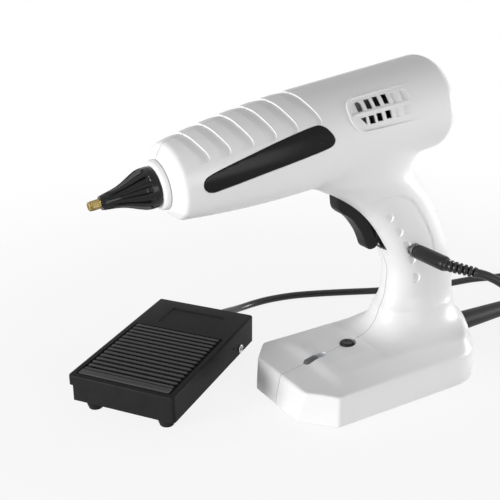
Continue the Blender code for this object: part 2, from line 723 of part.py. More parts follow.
def level_ring(row, inset=0.0, drop=0.0, level=None):
    """One level outline: a super-ellipse arc at the front and at the rear, joined by straight sides."""
    height, front, front_centre, half_width, rear_centre, rear, front_power, rear_power = row
    level = height * HANDLE_TOP_HEIGHT - drop if level is None else level
    width = half_width * BASE_HALF_WIDTH - inset
    ring = []
    for side in range(2):
        centre = (rear_centre if side == 0 else front_centre) * BASE_HALF_LENGTH
        reach = (rear * BASE_HALF_LENGTH - inset - centre) if side == 0 \
            else (centre - front * BASE_HALF_LENGTH - inset)
        power = 2.0 / (rear_power if side == 0 else front_power)
        for step in range(2 * OUTLINE_STEPS + 1):
            angle = math.radians(-90.0 + 180.0 * side) + math.pi * step / (2 * OUTLINE_STEPS)
            along, across = math.cos(angle), math.sin(angle)
            ring.append((centre + reach * math.copysign(abs(along) ** power, along),
                         width * math.copysign(abs(across) ** power, across), level))
    return ring


def side_reach(place, height):
    """Half width of the handle at a place and height, for pieces that seat on its side."""
    heights = [row[0] * HANDLE_TOP_HEIGHT for row in LEVEL_SHARES]
    blend = [float(np.interp(height, heights, [row[k] for row in LEVEL_SHARES])) for k in range(8)]
    front, front_centre, width, rear_centre, rear, front_power, rear_power = blend[1:]
    share = place / BASE_HALF_LENGTH
    if share > rear_centre:
        part, power = (share - rear_centre) / (rear - rear_centre), rear_power
    else:
        part, power = (front_centre - share) / (front_centre - front), front_power
    return width * BASE_HALF_WIDTH * (1 - max(part, 0.0) ** power) ** (1 / power)


def strip_height(place):
    """Height of the base's middle strip at a place along it."""
    fronts = [row[1] * BASE_HALF_LENGTH for row in LEVEL_SHARES[1:12]]
    return float(np.interp(place, fronts, [row[0] * HANDLE_TOP_HEIGHT for row in LEVEL_SHARES[1:12]]))


BARREL_MATRIX = Matrix.Translation((BARREL_FRONT_X, 0.0, BARREL_FRONT_Z)) @ Matrix.Rotation(-BARREL_TILT, 4, "Y")
BUTTON_TOP = strip_height(BUTTON_X) + BUTTON_RISE
SLIDER_TILT = math.atan2(strip_height(SLIDER_X + SLIDER_LENGTH / 2) - strip_height(SLIDER_X - SLIDER_LENGTH / 2),
                         SLIDER_LENGTH)
SLIDER_MATRIX = Matrix.Translation((SLIDER_X, 0.0, strip_height(SLIDER_X))) @ Matrix.Rotation(-SLIDER_TILT, 4, "Y")
SOCKET_WALLS = [side_reach(SOCKET_X + along, SOCKET_Z + up) for along in (-SOCKET_BODY_RADIUS, 0.0, SOCKET_BODY_RADIUS)
                for up in (-SOCKET_BODY_RADIUS, 0.0, SOCKET_BODY_RADIUS)]
HANDLE_SIDE = max(SOCKET_WALLS)
PIVOT = Vector((TRIGGER_PIVOT_X, 0.0, TRIGGER_PIVOT_Z))
PIN_HALF = side_reach(TRIGGER_PIVOT_X, TRIGGER_PIVOT_Z) - SHELL_WALL - 2 * FIT_GAP
TRIGGER_REAR_X = TRIGGER_PIVOT_X + TRIGGER_OUTLINE_SHARES[17][0] * TRIGGER_DROP
SWITCH_FRONT_X = TRIGGER_REAR_X + RUN_GAP + PLUNGER_REACH
PEG_PLACES = [(SWITCH_FRONT_X + SWITCH_LENGTH / 2 + side * PEG_SPACING / 2, SWITCH_Z + side * SWITCH_HEIGHT / 4)
              for side in (-1, 1)]

barrel_frame = frame_empty("barrel_frame", BARREL_MATRIX.translation, BARREL_MATRIX.to_euler())
slider_frame = frame_empty("slider_frame", SLIDER_MATRIX.translation, SLIDER_MATRIX.to_euler())
PLUNGER_TIP_Z = PEDAL_BASE_Z + PEDAL_TRAY_FLOOR + FIT_GAP + PEDAL_SWITCH_HEIGHT + PEDAL_PLUNGER_REACH
pedal_frame = frame_empty("pedal_frame", (PEDAL_X, PEDAL_Y, 0.0), (0.0, 0.0, PEDAL_TURN))


def along_barrel(mesh):
    """Turn a mesh made along Z so that it lies along the barrel, in the barrel's frame."""
    return aimed(mesh, ALONG_X)


def across(radius, place, height, half=BASE_HALF_WIDTH, steps=TINY_STEPS):
    """A round bar across the casing at a place and height."""
    return rod(radius, (place, -half, height), (place, half, height), steps)


def boss_places():
    """Places of the screw bosses in the casing, as (along, up) in the part's frame."""
    places = {}
    for name, (along, up) in BARREL_BOSS_SHARES.items():
        spot = BARREL_MATRIX @ Vector((along * BARREL_LENGTH, 0.0, up * BARREL_RADIUS))
        places[name] = (spot.x, spot.z)
    for name, (along, up) in HANDLE_BOSS_SHARES.items():
        places[name] = (along * BASE_HALF_LENGTH, up * HANDLE_TOP_HEIGHT)
    return places


def foot_screw_places():
    """Places of the base plate's two screws, on opposite corners."""
    return {"front": (-FOOT_SCREW_X, -FOOT_SCREW_Y), "rear": (FOOT_SCREW_X, FOOT_SCREW_Y)}


def stadium(length, width, steps=6):
    """Outline of a slot with round ends, along the first axis."""
    radius = width / 2
    reach = length / 2 - radius
    outline = []
    for side in (1, -1):
        for step in range(steps + 1):
            angle = math.radians(-90.0 if side == 1 else 90.0) + math.pi * step / steps
            outline.append((side * reach + radius * math.cos(angle), radius * math.sin(angle)))
    return outline


def flat_plate(outline, low, high):
    """A level plate between two heights from an outline in the ground plane."""
    mesh = plate(outline, high - low, across="Z")
    mesh.transform(Matrix.Translation((0.0, 0.0, (low + high) / 2)))
    return mesh


# Casing


def label_patch(margin, inner, outer):
    """A curved patch on the near side of the barrel with round ends, between two offsets of its surface."""
    rings = []
    for index in range(LABEL_STATIONS + 1):
        share = index / LABEL_STATIONS
        small, large = LABEL_SMALL_END + margin, LABEL_LARGE_END + margin
        start, end = LABEL_START - margin, LABEL_START + LABEL_LENGTH + margin
        place = start + (end - start) * (1 - math.cos(math.pi * share)) / 2
        half = small + (large - small) * (place - start) / (end - start)
        if place - start < small:
            half = math.sqrt(max(small ** 2 - (small - (place - start)) ** 2, 0.0))
        if end - place < large:
            half = math.sqrt(max(large ** 2 - (large - (end - place)) ** 2, 0.0))
        half = max(half, small / 3)
        centre = LABEL_HEIGHT + place * math.tan(LABEL_RISE)
        ring = []
        for offset, order in ((outer, range(5)), (inner, reversed(range(5)))):
            reach = barrel_radius(place)
            for step in order:
                height = centre + half * (step / 2 - 1)
                angle = height / reach
                ring.append((place, -(reach + offset) * math.cos(angle), (reach + offset) * math.sin(angle)))
        rings.append(ring)
    return loft(rings)


def casing():
    """The hollow casing, cut for everything that passes through it and split into two halves."""
    outer = keep("outer", aimed(turned(barrel_profile()), BARREL_MATRIX @ ALONG_X), cutter=True)
    hump = turned([(0.0, HUMP_END_X - HUMP_START_X), (HUMP_RADIUS - HUMP_ROUND, HUMP_END_X - HUMP_START_X),
                   (HUMP_RADIUS - HUMP_ROUND * 0.3, HUMP_END_X - HUMP_START_X - HUMP_ROUND * 0.3),
                   (HUMP_RADIUS, HUMP_END_X - HUMP_START_X - HUMP_ROUND), (HUMP_RADIUS, 0.0), (0.0, 0.0)])
    hump.transform(Matrix.Translation((HUMP_START_X, 0.0, LEAD_HEIGHT)) @ ALONG_X)
    shaped(outer, "UNION", loft([level_ring(row) for row in LEVEL_SHARES]), hump)
    floor_ring = level_ring(LEVEL_SHARES[0], SHELL_WALL, level=-CUT_OVERRUN)
    rings = [floor_ring]
    for pick in CAVITY_ROW_PICKS:
        roof = ROOF_ROWS[0] <= pick <= ROOF_ROWS[1]
        rings.append(level_ring(LEVEL_SHARES[pick], SHELL_WALL, drop=SHELL_WALL * 0.9 if roof else 0.0))
    inner = keep("inner", loft(rings), cutter=True)
    shaped(inner, "UNION", aimed(turned(barrel_profile(SHELL_WALL)), BARREL_MATRIX @ ALONG_X))
    posts = [rod(BOSS_RADIUS, (*spot, PLATE_THICK + FIT_GAP), (*spot, HANDLE_TOP_HEIGHT / 3), SMALL_STEPS)
             for spot in foot_screw_places().values()]
    bosses = [across(BOSS_RADIUS, *place, steps=SMALL_STEPS) for place in boss_places().values()]
    pegs = [across(PEG_RADIUS, *place) for place in PEG_PLACES]
    pivot_boss = across(PIVOT_BOSS_RADIUS, PIVOT.x, PIVOT.z, steps=SMALL_STEPS)
    shaped(inner, "DIFFERENCE", gathered([*bosses, *pegs, pivot_boss, *posts]))
    pocket_half = SLOT_HALF_WIDTH + (TRIGGER_SPRING_TURNS + 1) * TRIGGER_SPRING_WIRE
    pocket_side = 2 * PIVOT_BOSS_RADIUS + CUT_OVERRUN
    shaped(outer, "DIFFERENCE", inner.data.copy())
    slot = plate([(PIVOT.x + x * TRIGGER_DROP, PIVOT.z + z * TRIGGER_DROP) for x, z in SLOT_OUTLINE_SHARES],
                 2 * SLOT_HALF_WIDTH)
    shaped(outer, "DIFFERENCE", block((pocket_side, 2 * pocket_half, pocket_side), PIVOT), slot,
           across(TRIGGER_PIN_RADIUS + FIT_GAP, PIVOT.x, PIVOT.z, half=PIN_HALF + FIT_GAP))
    cut_nose_and_vents(outer)
    cut_base_openings(outer)
    bpy.data.objects.remove(inner)
    for name, side in (("left_shell", -1), ("right_shell", 1)):
        half = keep(name, outer.data.copy(), WHITE)
        room = Vector((4 * BASE_HALF_LENGTH, BASE_HALF_WIDTH, 2 * HANDLE_TOP_HEIGHT))
        blocked = block((2 * room.x, 2 * room.y, 2 * room.z), (0.0, -side * (room.y - SEAM_GAP / 2), 0.0))
        shaped(half, "DIFFERENCE", blocked, solver="MANIFOLD")
        drill_bosses(half, side)
    bpy.data.objects.remove(outer)


def cut_nose_and_vents(outer):
    """Bore at the nose, hole for the inlet, cooling slots and the recess of the label panel."""
    tools = [along_barrel(rod(NOSE_SEAT_RADIUS - SHELL_WALL * 2, (0, 0, -NOSE_CHAMFER - CUT_OVERRUN),
                              (0, 0, NOSE_CHAMFER), ROUND_STEPS)),
             along_barrel(rod(INLET_NECK_RADIUS + FIT_GAP, (0, 0, BARREL_LENGTH - SHELL_WALL - CUT_OVERRUN),
                              (0, 0, BARREL_LENGTH + CUT_OVERRUN), ROUND_STEPS)),
             label_patch(FIT_GAP, -LABEL_THICK - FIT_GAP, CUT_OVERRUN)]
    for row, height in enumerate((VENT_UPPER, VENT_LOWER)):
        for index in range(row, VENT_COLUMNS):
            place = (VENT_START + index * VENT_PITCH, 0.0, height)
            tools.append(block((VENT_WIDTH, 2 * BASE_HALF_WIDTH, VENT_HEIGHT), place))
    shaped(outer, "DIFFERENCE", *[aimed(tool, BARREL_MATRIX) for tool in tools])


def cut_base_openings(outer):
    """Holes for the power button, the slide switch, the jack socket and the mains lead."""
    roof = strip_height(BUTTON_X)
    shaped(outer, "DIFFERENCE",
           rod(BUTTON_RADIUS + RUN_GAP, (BUTTON_X, 0, roof - 3 * SHELL_WALL), (BUTTON_X, 0, roof + SHELL_WALL),
               ROUND_STEPS),
           aimed(flat_plate(stadium(SLIDER_LENGTH, SLIDER_WIDTH), -2 * SHELL_WALL, SHELL_WALL), SLIDER_MATRIX),
           rod(SOCKET_RADIUS + FIT_GAP, (SOCKET_X, -HANDLE_SIDE - CUT_OVERRUN, SOCKET_Z),
               (SOCKET_X, SHELL_WALL - min(SOCKET_WALLS) + CUT_OVERRUN, SOCKET_Z), SMALL_STEPS),
           rod(BOOT_NECK_RADIUS + FIT_GAP, (BASE_HALF_LENGTH - 3 * SHELL_WALL, 0, LEAD_HEIGHT),
               (HUMP_END_X + CUT_OVERRUN, 0, LEAD_HEIGHT), SMALL_STEPS))


def drill_bosses(half, side):
    """Screw holes: a clearance hole and a head pocket on the far side, a blind hole on the near side."""
    seat = SCREW_SEAT_SHARE * BARREL_RADIUS
    reach = seat + CUT_OVERRUN if side == 1 else SCREW_LENGTH - seat + FIT_GAP
    holes = [rod(SCREW_RADIUS + FIT_GAP, (x, -side * CUT_OVERRUN, z), (x, side * reach, z))
             for x, z in boss_places().values()]
    holes += [rod(SCREW_RADIUS + FIT_GAP, (*spot, 0.0), (*spot, FOOT_SCREW_DEPTH + FIT_GAP))
              for spot in foot_screw_places().values()]
    shaped(half, "DIFFERENCE", gathered(holes))
    if side == 1:
        shaped(half, "DIFFERENCE", gathered([
            rod(SCREW_HEAD_RADIUS + FIT_GAP, (x, seat - FIT_GAP, z), (x, BASE_HALF_WIDTH, z))
            for x, z in boss_places().values()]))


def screw(head, tip):
    """A pan-head screw from the middle of its head's underside to its tip, as one body."""
    head, tip = Vector(head), Vector(tip)
    along = (tip - head).normalized()
    profile = [(0.0, SCREW_HEAD_HEIGHT), (SCREW_HEAD_RADIUS * 0.7, SCREW_HEAD_HEIGHT),
               (SCREW_HEAD_RADIUS, SCREW_HEAD_HEIGHT / 2), (SCREW_HEAD_RADIUS, 0.0), (SCREW_RADIUS, 0.0),
               (SCREW_RADIUS, SCREW_RADIUS - (tip - head).length), (0.0, -(tip - head).length)]
    mesh = turned(profile, TINY_STEPS)
    turn = (-along).to_track_quat("Z", "Y").to_matrix().to_4x4()
    return aimed(mesh, Matrix.Translation(head) @ turn)


def fasteners():
    """The screws that hold the halves together, and those of the base plate."""
    seat = SCREW_SEAT_SHARE * BARREL_RADIUS
    for name, (x, z) in boss_places().items():
        keep("shell_screw_" + name, screw((x, seat, z), (x, seat - SCREW_LENGTH, z)), STEEL)
    for name, spot in foot_screw_places().items():
        keep("base_screw_" + name, screw((*spot, SCREW_HEAD_HEIGHT + FIT_GAP), (*spot, FOOT_SCREW_DEPTH)), STEEL)


def bottom_plate():
    """Flat plate under the base with posts for the circuit board, and a rubber pad let into it."""
    inset = SHELL_WALL + FIT_GAP
    rings = [level_ring(LEVEL_SHARES[0], inset, level=level) for level in (0.0, PLATE_THICK)]
    item = keep("base_plate", loft(rings), MATT_BLACK)
    post_x, post_y = BOARD_LENGTH / 2 - BOSS_RADIUS, BOARD_WIDTH / 2 - BOSS_RADIUS
    posts = [rod(BOSS_RADIUS, (BOARD_X + x * post_x, y * post_y, PLATE_THICK / 2),
                 (BOARD_X + x * post_x, y * post_y, PLATE_THICK + BOARD_POST_HEIGHT - FIT_GAP))
             for x in (-1, 1) for y in (-1, 1)]
    shaped(item, "UNION", gathered(posts))
    tools = [flat_plate(stadium(PAD_LENGTH + 2 * FIT_GAP, PAD_WIDTH + 2 * FIT_GAP), -CUT_OVERRUN, PAD_THICK + FIT_GAP)]
    for hole in foot_screw_places().values():
        tools.append(rod(SCREW_HEAD_RADIUS + FIT_GAP, (*hole, -CUT_OVERRUN), (*hole, PLATE_THICK + CUT_OVERRUN)))
    shaped(item, "DIFFERENCE", gathered(tools))
    keep("base_pad", flat_plate(stadium(PAD_LENGTH, PAD_WIDTH), 0.0, PAD_THICK), RUBBER)


casing()
fasteners()
bottom_plate()


# Nozzle and heating group


def nozzle():
    """Ring at the nose, fluted cap and brass tip."""
    seat = -NOSE_CHAMFER - FIT_GAP
    keep("nose_ring", along_barrel(bored(COLLAR_RADIUS, COLLAR_BORE, seat - COLLAR_LENGTH, seat)), WHITE,
                barrel_frame)
    rear = seat - COLLAR_LENGTH - FIT_GAP
    length = rear - CAP_FRONT
    profile = [(CAP_FRONT_RADIUS + (CAP_REAR_RADIUS - CAP_FRONT_RADIUS) * radius, rear - length * (1 - along))
               for radius, along in CAP_PROFILE_SHARES]
    stem_end = CHAMBER_FRONT - FIT_GAP
    bore = TIP_STEM_RADIUS + FIT_GAP
    outline = [(STEM_RADIUS, stem_end), (STEM_RADIUS, rear), *reversed(profile), (bore, CAP_FRONT), (bore, stem_end)]
    cap = keep("nozzle_cap", along_barrel(turned(outline, CAP_STEPS, closed=True)), BLACK, barrel_frame)
    flutes = []
    for index in range(CAP_FLUTES):
        angle = 2 * math.pi * (index + 0.5) / CAP_FLUTES
        places = []
        widths = []
        for radius, along in CAP_FLUTE_SHARES:
            surface = CAP_FRONT_RADIUS + (CAP_REAR_RADIUS - CAP_FRONT_RADIUS) * radius
            reach = surface * (1 + CAP_FLUTE_WIDTH_SHARE - CAP_FLUTE_DEPTH_SHARE)
            widths.append(surface * CAP_FLUTE_WIDTH_SHARE)
            places.append(Vector((rear - length * (1 - along), reach * math.cos(angle), reach * math.sin(angle))))
        flutes.append(tube(places, CAP_REAR_RADIUS * CAP_FLUTE_WIDTH_SHARE, 1, widths))
    shaped(cap, "DIFFERENCE", gathered(flutes))
    face = CAP_FRONT - FIT_GAP
    tip = [(TIP_STEM_RADIUS, face + TIP_STEM_LENGTH), (TIP_STEM_RADIUS, face), (TIP_RADIUS, face),
           (TIP_RADIUS, face - TIP_LENGTH * 0.9), (TIP_RADIUS * 0.85, face - TIP_LENGTH),
           (TIP_ORIFICE, face - TIP_LENGTH), (TIP_ORIFICE, face + TIP_STEM_LENGTH)]
    keep("nozzle_tip", along_barrel(turned(tip, SMALL_STEPS, closed=True)), BRASS, barrel_frame)


def heating():
    """Melt chamber, heater band, lagging, the plate that carries them and the stick sleeve."""
    end = CHAMBER_END
    neck = NOSE_SEAT_RADIUS - SHELL_WALL * 2 - 2 * FIT_GAP
    shoulder = NOSE_CHAMFER
    chamber = [(CHAMBER_RADIUS, end), (CHAMBER_RADIUS, shoulder), (neck, shoulder), (neck, CHAMBER_FRONT),
               (TIP_ORIFICE, CHAMBER_FRONT), (TIP_ORIFICE, shoulder), (STICK_RADIUS + FIT_GAP, 2 * shoulder),
               (STICK_RADIUS + FIT_GAP, end)]
    keep("melt_chamber", along_barrel(turned(chamber, 24, closed=True)), ALUMINIUM, barrel_frame)
    band_inner = CHAMBER_RADIUS + FIT_GAP
    band_end = CHAMBER_END - BAND_END_GAP
    keep("heater_band", along_barrel(bored(band_inner + BAND_THICK, band_inner, BAND_START, band_end, 24)), STEEL,
         barrel_frame)
    lagging_inner = band_inner + BAND_THICK + FIT_GAP
    lagging = bored(lagging_inner + LAGGING_THICK, lagging_inner, BAND_START, band_end, 24)
    keep("insulation_sleeve", along_barrel(lagging), LAGGING, barrel_frame)
    carrier = barrel_radius(MOUNT_PLATE_START) - SHELL_WALL - 2 * FIT_GAP
    disc = bored(carrier, CHAMBER_RADIUS + FIT_GAP, MOUNT_PLATE_START, MOUNT_PLATE_START + MOUNT_PLATE_THICK)
    keep("chamber_mount", along_barrel(disc), MATT_BLACK, barrel_frame)
    start = end + FIT_GAP
    sleeve = bored(SLEEVE_RADIUS, STICK_RADIUS + FIT_GAP, start, start + SLEEVE_LENGTH, 20)
    keep("silicone_sleeve", along_barrel(sleeve), SILICONE, barrel_frame)


def label_piece():
    """Bare label panel let into the near side of the barrel."""
    keep("label_panel", label_patch(0.0, -LABEL_THICK, 0.0), BLACK, barrel_frame)


nozzle()
heating()
label_piece()


# Feed group


def feed():
    """Frame, drive and idler rollers, sprung arm, gearbox, motor, guide tube and inlet."""
    offset = STICK_RADIUS + ROLLER_RADIUS + ROLLER_BITE_GAP
    inner_half = FRAME_HALF_WIDTH - FRAME_PLATE
    cavity = BARREL_RADIUS - SHELL_WALL
    rise = math.sqrt(cavity ** 2 - FRAME_HALF_WIDTH ** 2) - 2 * FIT_GAP
    low, high = -rise, rise
    frame = keep("feed_frame", block((FRAME_LENGTH, 2 * FRAME_HALF_WIDTH, high - low),
                                     (ROLLER_PLACE, 0.0, (low + high) / 2)), STEEL, barrel_frame)
    room_high = high + CUT_OVERRUN
    pin_place = (ROLLER_PLACE + ARM_PIN_OFFSET, ARM_PIN_HEIGHT)
    shaped(frame, "DIFFERENCE",
           block((FRAME_LENGTH + CUT_OVERRUN, 2 * inner_half, room_high - low - FRAME_PLATE),
                 (ROLLER_PLACE, 0.0, (low + FRAME_PLATE + room_high) / 2)),
           across(SHAFT_RADIUS + RUN_GAP, ROLLER_PLACE, -offset),
           across(ARM_PIN_RADIUS + FIT_GAP, *pin_place))
    drive = keep("drive_roller", aimed(turned([
        (0.0, FRAME_HALF_WIDTH + SHAFT_OVERHANG), (SHAFT_RADIUS, FRAME_HALF_WIDTH + SHAFT_OVERHANG),
        (SHAFT_RADIUS, ROLLER_HALF_WIDTH), (ROLLER_RADIUS, ROLLER_HALF_WIDTH), (ROLLER_RADIUS, -ROLLER_HALF_WIDTH),
        (SHAFT_RADIUS, -ROLLER_HALF_WIDTH), (SHAFT_RADIUS, -FRAME_HALF_WIDTH - GEARBOX_REACH),
        (0.0, -FRAME_HALF_WIDTH - GEARBOX_REACH)], 20), ALONG_MINUS_Y), STEEL, barrel_frame)
    drive.location = (ROLLER_PLACE, 0.0, -offset)
    idler = keep("idler_roller", aimed(bored(ROLLER_RADIUS, AXLE_RADIUS + RUN_GAP, -ROLLER_HALF_WIDTH,
                                             ROLLER_HALF_WIDTH, 20), ALONG_MINUS_Y), RUBBER, barrel_frame)
    idler.location = (ROLLER_PLACE, 0.0, offset)
    arm_reach = Vector((-ARM_PIN_OFFSET, 0.0, offset - ARM_PIN_HEIGHT))
    arm_y = -inner_half + 2 * FIT_GAP + ARM_THICK / 2
    arm = keep("idler_arm", arm_plate(arm_reach, arm_y), STEEL, barrel_frame)
    arm.location = (pin_place[0], 0.0, pin_place[1])
    axle_end = ROLLER_HALF_WIDTH + FIT_GAP
    shaped(arm, "UNION", rod(AXLE_RADIUS, (arm_reach.x, arm_y, arm_reach.z), (arm_reach.x, axle_end, arm_reach.z)))
    shaped(arm, "DIFFERENCE", across(ARM_PIN_RADIUS + FIT_GAP, 0.0, 0.0))
    pin_half = FRAME_HALF_WIDTH + ARM_THICK / 2
    keep("idler_pin", rod(ARM_PIN_RADIUS, (pin_place[0], -pin_half, pin_place[1]),
                          (pin_place[0], pin_half, pin_place[1])), STEEL, barrel_frame)
    spring_start = arm_y + ARM_THICK / 2 + ARM_SPRING_WIRE / 2 + FIT_GAP
    reach = ARM_PIN_RADIUS + ARM_SPRING_WIRE / 2 + FIT_GAP
    coil = [Vector((pin_place[0] + reach * math.cos(angle), spring_start + 1.6 * ARM_SPRING_WIRE * angle / math.tau,
                    pin_place[1] + reach * math.sin(angle)))
            for angle in np.linspace(0.0, 3 * math.tau, 25)]
    keep("idler_spring", tube(coil, ARM_SPRING_WIRE / 2, 1), STEEL, barrel_frame)
    drive_train(offset)


def arm_plate(reach, place):
    """Flat arm with round ends between its pivot and the roller's axle."""
    along = math.atan2(reach.z, reach.x)
    outline = [(first + reach.length / 2, second)
               for first, second in stadium(reach.length + 2 * ARM_RADIUS, 2 * ARM_RADIUS)]
    mesh = plate(outline, ARM_THICK)
    return aimed(mesh, Matrix.Translation((0.0, place, 0.0)) @ Matrix.Rotation(-along, 4, "Y"))


def drive_train(offset):
    """Gearbox and motor beside the frame, then the guide tube and the inlet at the rear."""
    side = -FRAME_HALF_WIDTH - FIT_GAP
    top = GEARBOX_HEIGHT / 2 - MOTOR_DROP
    gearbox = keep("gearbox", block((GEARBOX_LENGTH, GEARBOX_DEPTH, GEARBOX_HEIGHT),
                                    (ROLLER_PLACE, -side + GEARBOX_DEPTH / 2, top - GEARBOX_HEIGHT / 2)),
                   MATT_BLACK, barrel_frame)
    shaped(gearbox, "DIFFERENCE", rod(SHAFT_RADIUS + RUN_GAP, (ROLLER_PLACE, 0.0, -offset),
                                      (ROLLER_PLACE, FRAME_HALF_WIDTH + GEARBOX_DEPTH * 0.8, -offset), SMALL_STEPS))
    start = ROLLER_PLACE + GEARBOX_LENGTH / 2 + FIT_GAP
    keep("feed_motor", rod(MOTOR_RADIUS, (start, MOTOR_SIDE, -MOTOR_DROP),
                           (start + MOTOR_LENGTH, MOTOR_SIDE, -MOTOR_DROP), 20), STEEL, barrel_frame)
    neck_start = BARREL_LENGTH - INLET_DEPTH
    guide = bored(GUIDE_RADIUS, STICK_RADIUS + FIT_GAP, ROLLER_PLACE + FRAME_LENGTH / 2 + FIT_GAP,
                  neck_start - FIT_GAP, 20)
    keep("guide_tube", along_barrel(guide), ALUMINIUM, barrel_frame)
    flange_seat = BARREL_LENGTH + FIT_GAP
    inlet = [(INLET_BORE, flange_seat + INLET_FLANGE_THICK), (INLET_FLANGE_RADIUS, flange_seat + INLET_FLANGE_THICK),
             (INLET_FLANGE_RADIUS, flange_seat), (INLET_NECK_RADIUS, flange_seat), (INLET_NECK_RADIUS, neck_start),
             (INLET_BORE, neck_start)]
    keep("inlet_collar", along_barrel(turned(inlet, 24, closed=True)), MATT_BLACK, barrel_frame)


feed()


# Trigger group


def trigger_group():
    """Lever on its pin with a return spring, and the micro switch with its plunger behind it."""
    outline = [(x * TRIGGER_DROP, z * TRIGGER_DROP) for x, z in TRIGGER_OUTLINE_SHARES]
    lever = keep("trigger", plate(outline, 2 * TRIGGER_HALF_WIDTH), MATT_BLACK)
    lever.location = PIVOT
    shaped(lever, "DIFFERENCE", across(TRIGGER_PIN_RADIUS + FIT_GAP, 0.0, 0.0))
    softened(lever, TRIGGER_ROUND, 1, 50.0)
    keep("trigger_pin", rod(TRIGGER_PIN_RADIUS, PIVOT - Vector((0, PIN_HALF, 0)), PIVOT + Vector((0, PIN_HALF, 0))),
         STEEL)
    reach = TRIGGER_PIN_RADIUS + TRIGGER_SPRING_WIRE / 2 + FIT_GAP
    start = -SLOT_HALF_WIDTH - TRIGGER_SPRING_WIRE
    coil = [Vector((PIVOT.x + reach * math.cos(angle), start - TRIGGER_SPRING_WIRE * angle / math.tau,
                    PIVOT.z + reach * math.sin(angle)))
            for angle in np.linspace(0.0, (TRIGGER_SPRING_TURNS - 0.5) * math.tau, 8 * TRIGGER_SPRING_TURNS)]
    keep("trigger_spring", tube(coil, TRIGGER_SPRING_WIRE * 0.4, 1), STEEL)
    switch = keep("trigger_switch", block((SWITCH_LENGTH, 2 * SWITCH_HALF_WIDTH, SWITCH_HEIGHT),
                                          (SWITCH_FRONT_X + SWITCH_LENGTH / 2, 0.0, SWITCH_Z)), MATT_BLACK)
    hole = PLUNGER_DEPTH + SWITCH_TRAVEL + RUN_GAP
    shaped(switch, "DIFFERENCE", *[across(PEG_RADIUS + FIT_GAP, *place) for place in PEG_PLACES],
           rod(PLUNGER_RADIUS + FIT_GAP, (SWITCH_FRONT_X - CUT_OVERRUN, 0, SWITCH_Z),
               (SWITCH_FRONT_X + hole, 0, SWITCH_Z)))
    keep("trigger_switch_plunger", rod(PLUNGER_RADIUS, (SWITCH_FRONT_X - PLUNGER_REACH, 0, SWITCH_Z),
                                       (SWITCH_FRONT_X + PLUNGER_DEPTH, 0, SWITCH_Z)), WHITE)


def jack():
    """Socket in the handle's near side, with the plug of the pedal cord and its ribbed relief."""
    face = -HANDLE_SIDE - FIT_GAP
    inside = SHELL_WALL - min(SOCKET_WALLS) + 2 * FIT_GAP
    nose = face - SOCKET_NUT_LENGTH
    bore = JACK_PIN_RADIUS + RUN_GAP
    socket = turned([(bore, -nose), (SOCKET_NUT_RADIUS, -nose), (SOCKET_NUT_RADIUS, -face), (SOCKET_RADIUS, -face),
                     (SOCKET_RADIUS, -inside), (SOCKET_BODY_RADIUS, -inside),
                     (SOCKET_BODY_RADIUS, SEAM_GAP), (bore, SEAM_GAP)], SMALL_STEPS, closed=True)
    place = Matrix.Translation((SOCKET_X, 0.0, SOCKET_Z)) @ ALONG_MINUS_Y
    keep("jack_socket", aimed(socket, place), STEEL)
    seat = -nose + FIT_GAP
    end = -RELIEF_ROUTE[0][1] - FIT_GAP
    plug = turned([(0.0, end), (GRIP_NECK_RADIUS, end), (GRIP_NECK_RADIUS, end - GRIP_LENGTH * 0.12),
                   (GRIP_RADIUS, end - GRIP_LENGTH * 0.22), (GRIP_RADIUS, seat + GRIP_LENGTH * 0.1),
                   (GRIP_RADIUS * 0.9, seat), (JACK_PIN_RADIUS, seat), (JACK_PIN_RADIUS, seat - JACK_PIN_LENGTH),
                   (0.0, seat - JACK_PIN_LENGTH - JACK_PIN_RADIUS * 0.7)], SMALL_STEPS)
    keep("jack_plug", aimed(plug, place), BLACK)
    middle = Vector((SOCKET_X, 0.0, SOCKET_Z))
    route = smooth_route([middle + Vector(place) for place in RELIEF_ROUTE], RELIEF_RADIUS * 0.45)
    radii = []
    for index in range(len(route)):
        share = index / (len(route) - 1)
        ribbed = RELIEF_GROOVE if 0.1 < share < 0.9 and index % 3 == 0 else 0.0
        radii.append(RELIEF_RADIUS + (RELIEF_END_RADIUS - RELIEF_RADIUS) * share - ribbed)
    keep("jack_plug_relief", tube(route, RELIEF_RADIUS, 2, radii), BLACK)


trigger_group()
jack()


# Controls and circuit in the base


